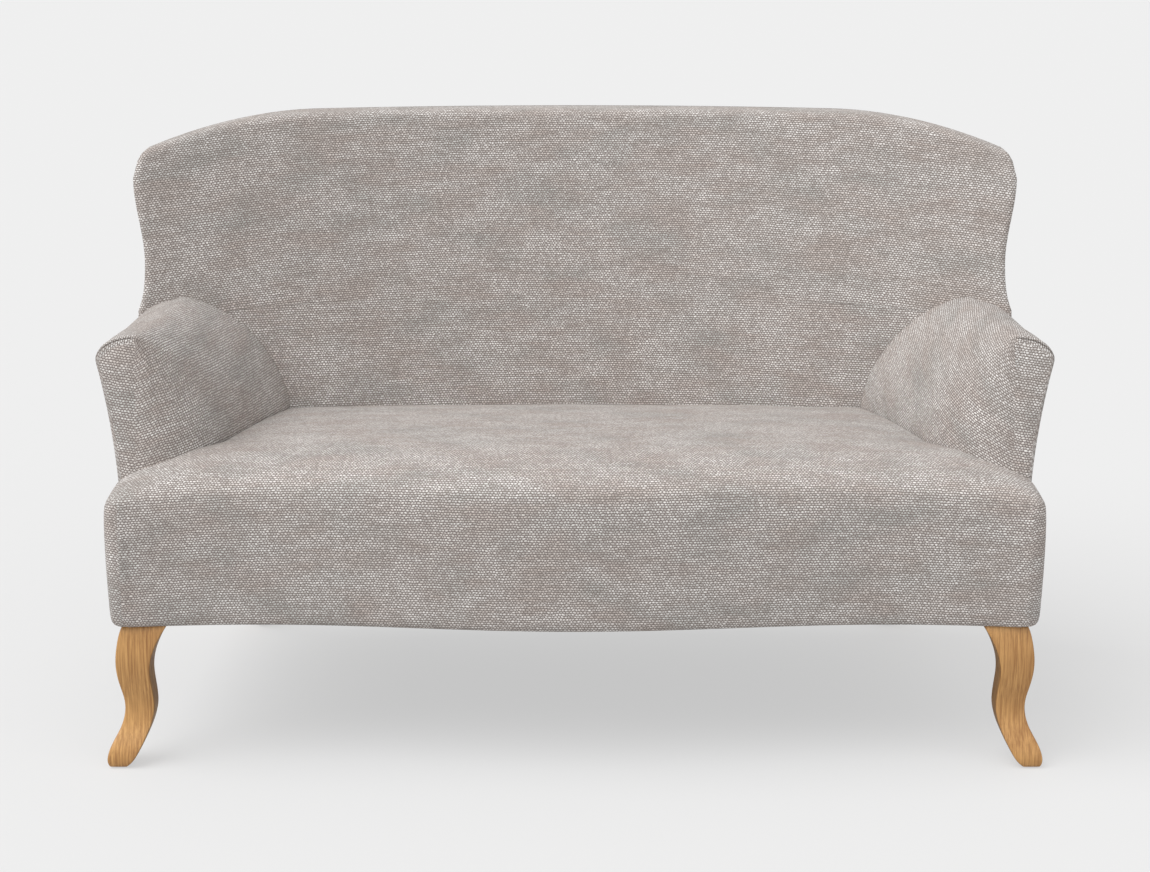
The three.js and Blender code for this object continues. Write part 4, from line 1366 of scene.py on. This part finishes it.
@dataclass(frozen=True)
class Web:
    """How thick a stretched cloth is, and how it thins and sinks at its turned edge."""

    thickness: float = 1.8
    edge: float = 3.0
    sink: float = 0.8
    thin: float = 0.35

    def sunk(self, from_edge: Array) -> Array:
        """How far the shown face sinks."""
        return self.thickness * self.sink * (1 - bell(from_edge, self.edge))

    def through(self, from_edge: Array) -> Array:
        """Distance from the shown face to the hidden one."""
        return self.thickness * mix(self.thin, 1.0, bell(from_edge, self.edge))


def stretch_cloth(name: str, outer: Array, inner: Array, across: Array, up: Array) -> Sheet:
    """Close a thin cloth.

    Args:
        name: the piece's name.
        outer: grid of points of its shown face.
        inner: grid of points of its hidden face.
        across: place across on the flat cloth, in millimetres.
        up: place up on the flat cloth.

    Returns:
        The object, its flat size in metres and its flat area in square metres.
    """
    shell = Shell()
    shell.close(outer, [], inner, np.stack([across, up], -1))
    flat = (float(np.ptp(across)) * MM, float(np.ptp(up)) * MM)
    return shell.piece(name), flat, grid_area(outer) * MM * MM


@dataclass
class OutsideArm:
    """The stretched cloth panel on the outer side of one arm."""

    side: Side
    web: Web = Web()
    bottom: float = 214.6
    top: float = 575.2
    levels: Numbers = (bottom, bottom + 0.6, bottom + 2.5, *np.linspace(bottom + 8, 568, 26),
                       572.5, 574.6, top)
    shares: Numbers = (0, 0.001, 0.004, 0.01, *np.linspace(0.03, 0.985, 36), 0.993, 0.997, 1.0)
    front_gap: float = 7.2
    rear_inset: float = 2.0
    rear_gap: float = 0.4
    turn: float = 5.0
    turn_share: float = 0.6
    seed: int = 31
    unevenness: float = 0.7
    belly: float = 1.0

    def build(self) -> Sheet:
        """Make the panel, and measure its flat size and area.

        Returns:
            The object, its flat size in metres and its flat area in square metres.
        """
        form = FORM
        z = np.repeat(np.array(self.levels)[:, None], len(self.shares), 1)
        front = form.arm_front + self.front_gap + form.lean(z)
        rear = form.back_rear(form.back_half_at(z) - self.rear_inset, z) - self.rear_gap
        y = mix(front, rear, np.array(self.shares)[None, :])
        edge = np.minimum.reduce([y - front, rear - y, z - self.bottom, self.top - z])
        x = form.arm_outer(y, z) - self.web.sunk(edge)
        x = x - self.turn * (1 - bell(rear - y, self.turn)) * self.turn_share
        taut = Unevenness(self.seed + self.side.value, self.unevenness, belly=self.belly)
        x = x + taut.at(y, z, edge)
        outer = np.stack([x, y, z], -1)
        inner = np.stack([x - self.web.through(edge), y, z], -1)
        flip = self.side.flip
        across = -lengths(outer.transpose(1, 0, 2)).T * self.side.value
        return stretch_cloth(f"outside_arm_cloth_{self.side.word}", outer * flip, inner * flip, across,
                             lengths(outer))


@dataclass
class OutsideBack:
    """The stretched cloth panel over the whole rear of the settee."""

    web: Web = Web(edge=4.0)
    bottom: float = 214.6
    inset: float = 3.6
    top_inset: float = 8.6
    wide: float = 700.0
    near: Numbers = (0, 0.6, 2.0, 5.0)
    core: float = 0.98
    core_steps: int = 72
    levels: Numbers = (*np.linspace(230, 590, 24), 598, 604, 612, 622, 634, 648, 662, 676, 690, 705,
                       720, 735, 750, 765, 780, 794, 806, 816, 826, 835, 842)
    uneven: Unevenness = Unevenness(41, 0.8, 120.0, 0.8)

    def build(self) -> Sheet:
        """Make the panel, and measure its flat size and area.

        Returns:
            The object, its flat size in metres and its flat area in square metres.
        """
        form = FORM
        near = np.array(self.near)
        levels = np.array([*self.bottom + near, *self.levels, *form.back_corner_at - near[::-1]])[:, None]
        shares = mirrored(near / self.wide, np.linspace(-self.core, self.core, self.core_steps))[None, :]
        half = form.back_half_at(levels) - self.inset + form.over_post(levels)
        x, z, side, top, low = form.back_grid(shares, levels, half, self.bottom, self.top_inset, self.wide)
        edge = np.minimum.reduce([side, top, low])
        y = form.back_rear(x, z) - self.web.sunk(edge) + self.uneven.at(x, z, edge)
        outer = np.stack([x, y, z], -1)
        inner = np.stack([x, y - self.web.through(edge), z], -1)
        across = -lengths(outer.transpose(1, 0, 2)).T
        return stretch_cloth("outside_back_cloth", outer, inner, across, lengths(outer))


@dataclass
class DustCloth:
    """The thin black cloth stapled under the frame, cut out round the four legs."""

    level: float = 218.3
    thickness: float = 1.1
    inset: float = 13.0
    sag: float = 2.2
    fold: float = 0.6
    half: float = 644.0
    taper: float = 22.0
    front_cut: float = 84.0
    front_legs: Pair = (568.0, 584.0)
    rear_cut: float = 92.0
    rear_legs: Pair = (512.0, 526.0)
    columns: int = 81
    rows: int = 49
    uneven: Unevenness = Unevenness(51, 0.35)

    def build(self) -> Sheet:
        """Make the sheet, and measure its flat size and area.

        Returns:
            The object, its flat size in metres and its flat area in square metres.
        """
        form = FORM
        shares = np.linspace(-1, 1, self.columns)[None, :]
        rows = np.linspace(0, 1, self.rows)[:, None]
        aside = np.abs(shares) * self.half
        front = form.seat_front(shares * self.half) + self.inset
        front = front + self.front_cut * step(aside, *self.front_legs)
        rear = form.back_rear(shares * (self.half - self.taper), form.leg_height) - self.inset
        rear = rear - self.rear_cut * step(aside, *self.rear_legs)
        x = shares * (self.half - self.taper * rows)
        y = mix(front, rear, rows)
        lift = np.sin(np.pi * rows) * np.sin(np.pi * (shares + 1) / 2)
        z = self.level - self.fold - self.sag * lift + self.uneven.ripple(x, y) * lift
        outer = np.stack([x, y, z], -1)
        return stretch_cloth("dust_cloth", outer, np.stack([x, y, z + self.thickness], -1), x, y)


def pick(piece: Piece | None) -> None:
    """Leave edit mode, and select one piece or nothing.

    Args:
        piece: what to select, or None.
    """
    if bpy.context.mode != "OBJECT":
        bpy.ops.object.mode_set(mode="OBJECT")
    bpy.ops.object.select_all(action="DESELECT")
    if piece is not None:
        piece.select_set(True)
        bpy.context.view_layer.objects.active = piece


@dataclass
class LegSection:
    """One level of a leg: its height, its middle and its width and depth, in millimetres."""

    height: float
    across: float
    back: float
    width: float
    depth: float

    @property
    def middle(self) -> Array:
        """The middle as a point of the frame in metres."""
        return FORM.place(np.array([self.across, self.back, self.height]))


@dataclass
class Leg:
    """A sawn and rounded oak leg, extruded down from its top section by section."""

    name: str
    sections: list[LegSection]
    turned: float = 0.0
    edge: float = 6.0
    bevel_steps: int = 2
    bevel_shape: float = 0.6
    smoothing: int = 2

    def build(self) -> Piece:
        """Extrude the leg down through its sections, round its edges and smooth it.

        Returns:
            The new object, in the scene.
        """
        pick(None)
        first = self.sections[0]
        bpy.ops.mesh.primitive_plane_add(size=1.0, location=Vector(first.middle),
                                         rotation=(0, 0, self.turned))
        piece = bpy.context.active_object
        piece.name = self.name
        piece.data.name = self.name
        bpy.ops.object.mode_set(mode="EDIT")
        bpy.ops.mesh.select_all(action="SELECT")
        self.resize(first.width * MM, first.depth * MM, first.middle)
        for here, section in zip(self.sections, self.sections[1:]):
            bpy.ops.mesh.extrude_region_move(
                TRANSFORM_OT_translate={"value": tuple(section.middle - here.middle)})
            self.resize(section.width / here.width, section.depth / here.depth, section.middle)
        self.round_edges(piece)
        pick(piece)
        finer = piece.modifiers.new("finer", "SUBSURF")
        finer.levels = self.smoothing
        finer.render_levels = self.smoothing
        bpy.ops.object.modifier_apply(modifier=finer.name)
        bpy.ops.object.transform_apply(location=True, rotation=True, scale=True)
        tidy_mesh(piece.data)
        return piece

    def resize(self, wide: float, deep: float, centre: Array) -> None:
        """Scale what is selected across and back, in the leg's own turn."""
        bpy.ops.transform.resize(value=(wide, deep, 1.0), orient_type="LOCAL", center_override=Vector(centre))

    def round_edges(self, piece: Piece) -> None:
        """Bevel the long edges and the sole.

        Args:
            piece: the leg, in edit mode.
        """
        bpy.ops.mesh.select_all(action="DESELECT")
        bpy.ops.mesh.select_mode(type="EDGE")
        work = bmesh.from_edit_mesh(piece.data)
        bmesh.ops.recalc_face_normals(work, faces=work.faces)
        sole = min(vert.co.z for vert in work.verts)
        for edge in work.edges:
            a, b = (vert.co.z for vert in edge.verts)
            if abs(a - b) > TINY or abs(a - sole) < TINY:
                edge.select_set(True)
        bmesh.update_edit_mesh(piece.data)
        bpy.ops.mesh.bevel(offset=self.edge * MM, segments=self.bevel_steps, profile=self.bevel_shape,
                           affect="EDGES", clamp_overlap=True)


@dataclass
class Legs:
    """The four legs.

    The shares of a front leg are its height, its outer line and its inner one, each as a share of its height.
    """

    into_block: float = 3.6
    front_across: float = 656.5
    front_back: float = 18.0
    front_depth: float = 56.0
    front_sole: float = 1.2
    front_edge: float = 3.6
    shares: tuple[Triple, ...] = (
        (1.0, 0.0, -0.309), (0.955, 0.027, -0.279), (0.9, 0.044, -0.243), (0.83, 0.057, -0.207),
        (0.76, 0.066, -0.181), (0.685, 0.0675, -0.1655), (0.61, 0.059, -0.165), (0.535, 0.044, -0.173),
        (0.46, 0.026, -0.18), (0.385, 0.021, -0.183), (0.315, 0.032, -0.17), (0.25, 0.055, -0.149),
        (0.19, 0.089, -0.122), (0.13, 0.123, -0.093), (0.065, 0.141, -0.056), (0.03, 0.137, -0.028),
        (0.0, 0.126, 0.008))
    rear_across: Pair = (560.0, 553.0)
    rear_back: Pair = (598.0, 661.0)
    rear_size: Pair = (30.0, 46.0)
    rear_sole: float = 3.3
    rear_edge: float = 4.0
    rear_steps: int = 9
    rear_sweep: float = 1.4

    def front(self, side: Side) -> Piece:
        """A curved front leg.

        Args:
            side: which end it stands at.

        Returns:
            The new object, in the scene.
        """
        tall = FORM.leg_height
        scale = self.front_depth / (-self.shares[0][2] * tall)
        sections = []
        for up, outer, inner in self.shares:
            outer_x = self.front_across + outer * tall
            inner_x = self.front_across + inner * tall
            front_y = self.front_back - outer * tall
            rear_y = self.front_back - inner * tall * scale
            sections.append(LegSection(mix(self.front_sole, tall + self.into_block, up),
                                       side.value * (outer_x + inner_x) / 2, (front_y + rear_y) / 2,
                                       outer_x - inner_x, rear_y - front_y))
        return Leg(f"front_leg_oak_{side.word}", sections, edge=self.front_edge).build()

    def rear(self, side: Side) -> Piece:
        """A raked rear leg.

        Args:
            side: which end it stands at.

        Returns:
            The new object, in the scene.
        """
        sections = []
        for up in np.linspace(1, 0, self.rear_steps):
            sweep = (1 - up) ** self.rear_sweep
            size = mix(*self.rear_size, up)
            sections.append(LegSection(mix(self.rear_sole, FORM.leg_height + self.into_block, up),
                                       side.value * mix(*self.rear_across, sweep),
                                       mix(*self.rear_back, sweep), size, size))
        return Leg(f"rear_leg_oak_{side.word}", sections, math.pi / 4, self.rear_edge).build()

    def build(self, oak: Material) -> None:
        """Make and dress all four legs.

        Args:
            oak: their finish.
        """
        for side in Side:
            dress(self.front(side), oak, "oak", f"front_leg_{side.word}")
            dress(self.rear(side), oak, "oak", f"rear_leg_{side.word}")


class Settee:
    """The whole settee, piece by piece."""

    def __init__(self) -> None:
        """Make the finishes."""
        self.finishes = Finishes()

    def build(self) -> None:
        """Dress the frame's own nodes, then make the upholstery, the legs and the cloths."""
        self.dress_nodes()
        slots = self.finishes.slots
        seat = dress(SeatUpholstery().build(), slots[COVER], COVER, "seat_cover", "seat_foam",
                     "border_padding")
        back = dress(BackUpholstery().build(), slots[COVER], COVER, "inside_back_cover", "back_foam")
        for side in Side:
            arm = dress(ArmUpholstery(side).build(), self.finishes.arm_cover, COVER,
                        f"arm_cover_{side.word}", f"arm_foam_{side.word}")
            self.hang(OutsideArm(side).build(), COVER, f"outside_arm_panel_{side.word}",
                      [f"arm_post_{side.word}", f"side_rail_{side.word}"])
        self.hang(OutsideBack().build(), COVER, "outside_back_cover", ["back_top_rail", "back_rail"])
        self.hang(DustCloth().build(), "dust_cloth", "dust_cover", ["front_rail", "back_rail"])
        Legs().build(slots["oak"])

    def hang(self, made: Sheet, slot: str, node: str, holders: list[str]) -> None:
        """Dress a stretched cloth.

        Args:
            made: the cloth with its flat size and area.
            slot: the record's material slot.
            node: the frame's node that it stands for.
            holders: the nodes that it is stretched over; not used.
        """
        cloth, flat, area = made
        dress(cloth, self.finishes.slots[slot], slot, node)

    def dress_nodes(self) -> None:
        """Give every node of the frame the finish of its slot."""
        slots = {part["node"]: part["material_slot"] for part in frame["record"]["subparts"]}
        for name, node in frame["nodes"].items():
            material = self.finishes.slots[slots[name]]
            for place in node.material_slots:
                place.material = material
            if not node.material_slots:
                node.data.materials.append(material)


@dataclass(frozen=True)
class Lamp:
    """A far, wide and soft light: where it stands, how strong it is and how wide it looks."""

    name: str
    place: Triple
    strength: float
    width: float

    def hang(self) -> None:
        """Hang the lamp, pointing at the middle of the floor."""
        data = bpy.data.lights.new(self.name, "SUN")
        data.angle = math.radians(self.width)
        data.energy = self.strength
        lit = bpy.data.objects.new(self.name, data)
        lit.location = self.place
        lit.rotation_euler = (-Vector(self.place)).to_track_quat("-Z", "Y").to_euler()
        bpy.context.scene.collection.objects.link(lit)


@dataclass
class Studio:
    """Pale floor, soft light and the camera."""

    pale: float = 0.55
    shown: float = 0.945
    beyond: float = 0.863
    floor_glow: float = 0.56
    floor_size: float = 60.0
    ambient: float = 0.6
    sensor: float = 36.0
    focal_in_widths: float = 2183.0 / 1150.0
    camera_before: float = 3010.0
    camera_height: float = 1.228
    camera_dip: float = 0.2351
    far: float = 100.0
    lamps: tuple[Lamp, ...] = (Lamp("key", (-5.4, -2.3, 8.2), 2.6, 55.0),
                               Lamp("fill", (4.0, -7.0, 6.0), 0.6, 80.0))

    def camera(self) -> None:
        """Stand the camera before the settee and look a little down."""
        data = bpy.data.cameras.new("view")
        data.sensor_fit = "HORIZONTAL"
        data.sensor_width = self.sensor
        data.lens = self.focal_in_widths * self.sensor
        data.clip_end = self.far
        view = bpy.data.objects.new("view", data)
        view.location = (0.0, (-self.camera_before - FORM.plane_shift) * MM, self.camera_height)
        view.rotation_euler = (math.radians(90.0) - math.asin(self.camera_dip), 0.0, 0.0)
        bpy.context.scene.collection.objects.link(view)
        bpy.context.scene.camera = view

    def floor(self) -> None:
        """Lay a wide pale floor that fades into the backdrop."""
        pick(None)
        bpy.ops.mesh.primitive_plane_add(size=self.floor_size, location=(0, 0, 0))
        floor = bpy.context.active_object
        floor.name = "floor"
        material, bench, shader = start_material("floor")
        bench.fill(shader.inputs, Roughness=1.0, Specular_IOR_Level=0.0, Base_Color=(*[self.pale] * 3, 1.0))
        glow = bench.node("ShaderNodeEmission", None, Color=(*[self.shown] * 3, 1.0), Strength=1.0)
        seen = bench.node("ShaderNodeLightPath").outputs["Is Camera Ray"]
        join = bench.node("ShaderNodeMixShader", None, Fac=bench.math("MULTIPLY", seen, self.floor_glow))
        bench.feed(join.inputs[1], shader.outputs[0])
        bench.feed(join.inputs[2], glow.outputs[0])
        bench.fill(bench.tree.nodes["Material Output"].inputs, Surface=join.outputs[0])
        floor.data.materials.append(material)

    def world(self) -> None:
        """Even light all round, and a pale backdrop for the camera."""
        world = bpy.data.worlds.new("studio")
        world.use_nodes = True
        bpy.context.scene.world = world
        world.node_tree.nodes.clear()
        bench = Bench(world.node_tree)
        path = bench.node("ShaderNodeLightPath").outputs
        bent = bench.math("MAXIMUM", path["Is Glossy Ray"], path["Is Transmission Ray"])
        light = bench.node("ShaderNodeBackground", None, Color=(1, 1, 1, 1), Strength=self.ambient)
        drop = bench.node("ShaderNodeBackground", None, Color=(*[self.beyond] * 3, 1.0), Strength=1.0)
        join = bench.node("ShaderNodeMixShader", None, Fac=bench.math("MAXIMUM", path["Is Camera Ray"], bent))
        bench.feed(join.inputs[1], light.outputs[0])
        bench.feed(join.inputs[2], drop.outputs[0])
        bench.node("ShaderNodeOutputWorld", None, Surface=join.outputs[0])

    def build(self) -> None:
        """Set up the whole studio."""
        self.camera()
        self.floor()
        self.world()
        for lamp in self.lamps:
            lamp.hang()
        bpy.context.scene.view_settings.view_transform = "Standard"


def main() -> None:
    """Build the studio and the settee."""
    Studio().build()
    Settee().build()


if __name__ == "__main__":
    main()
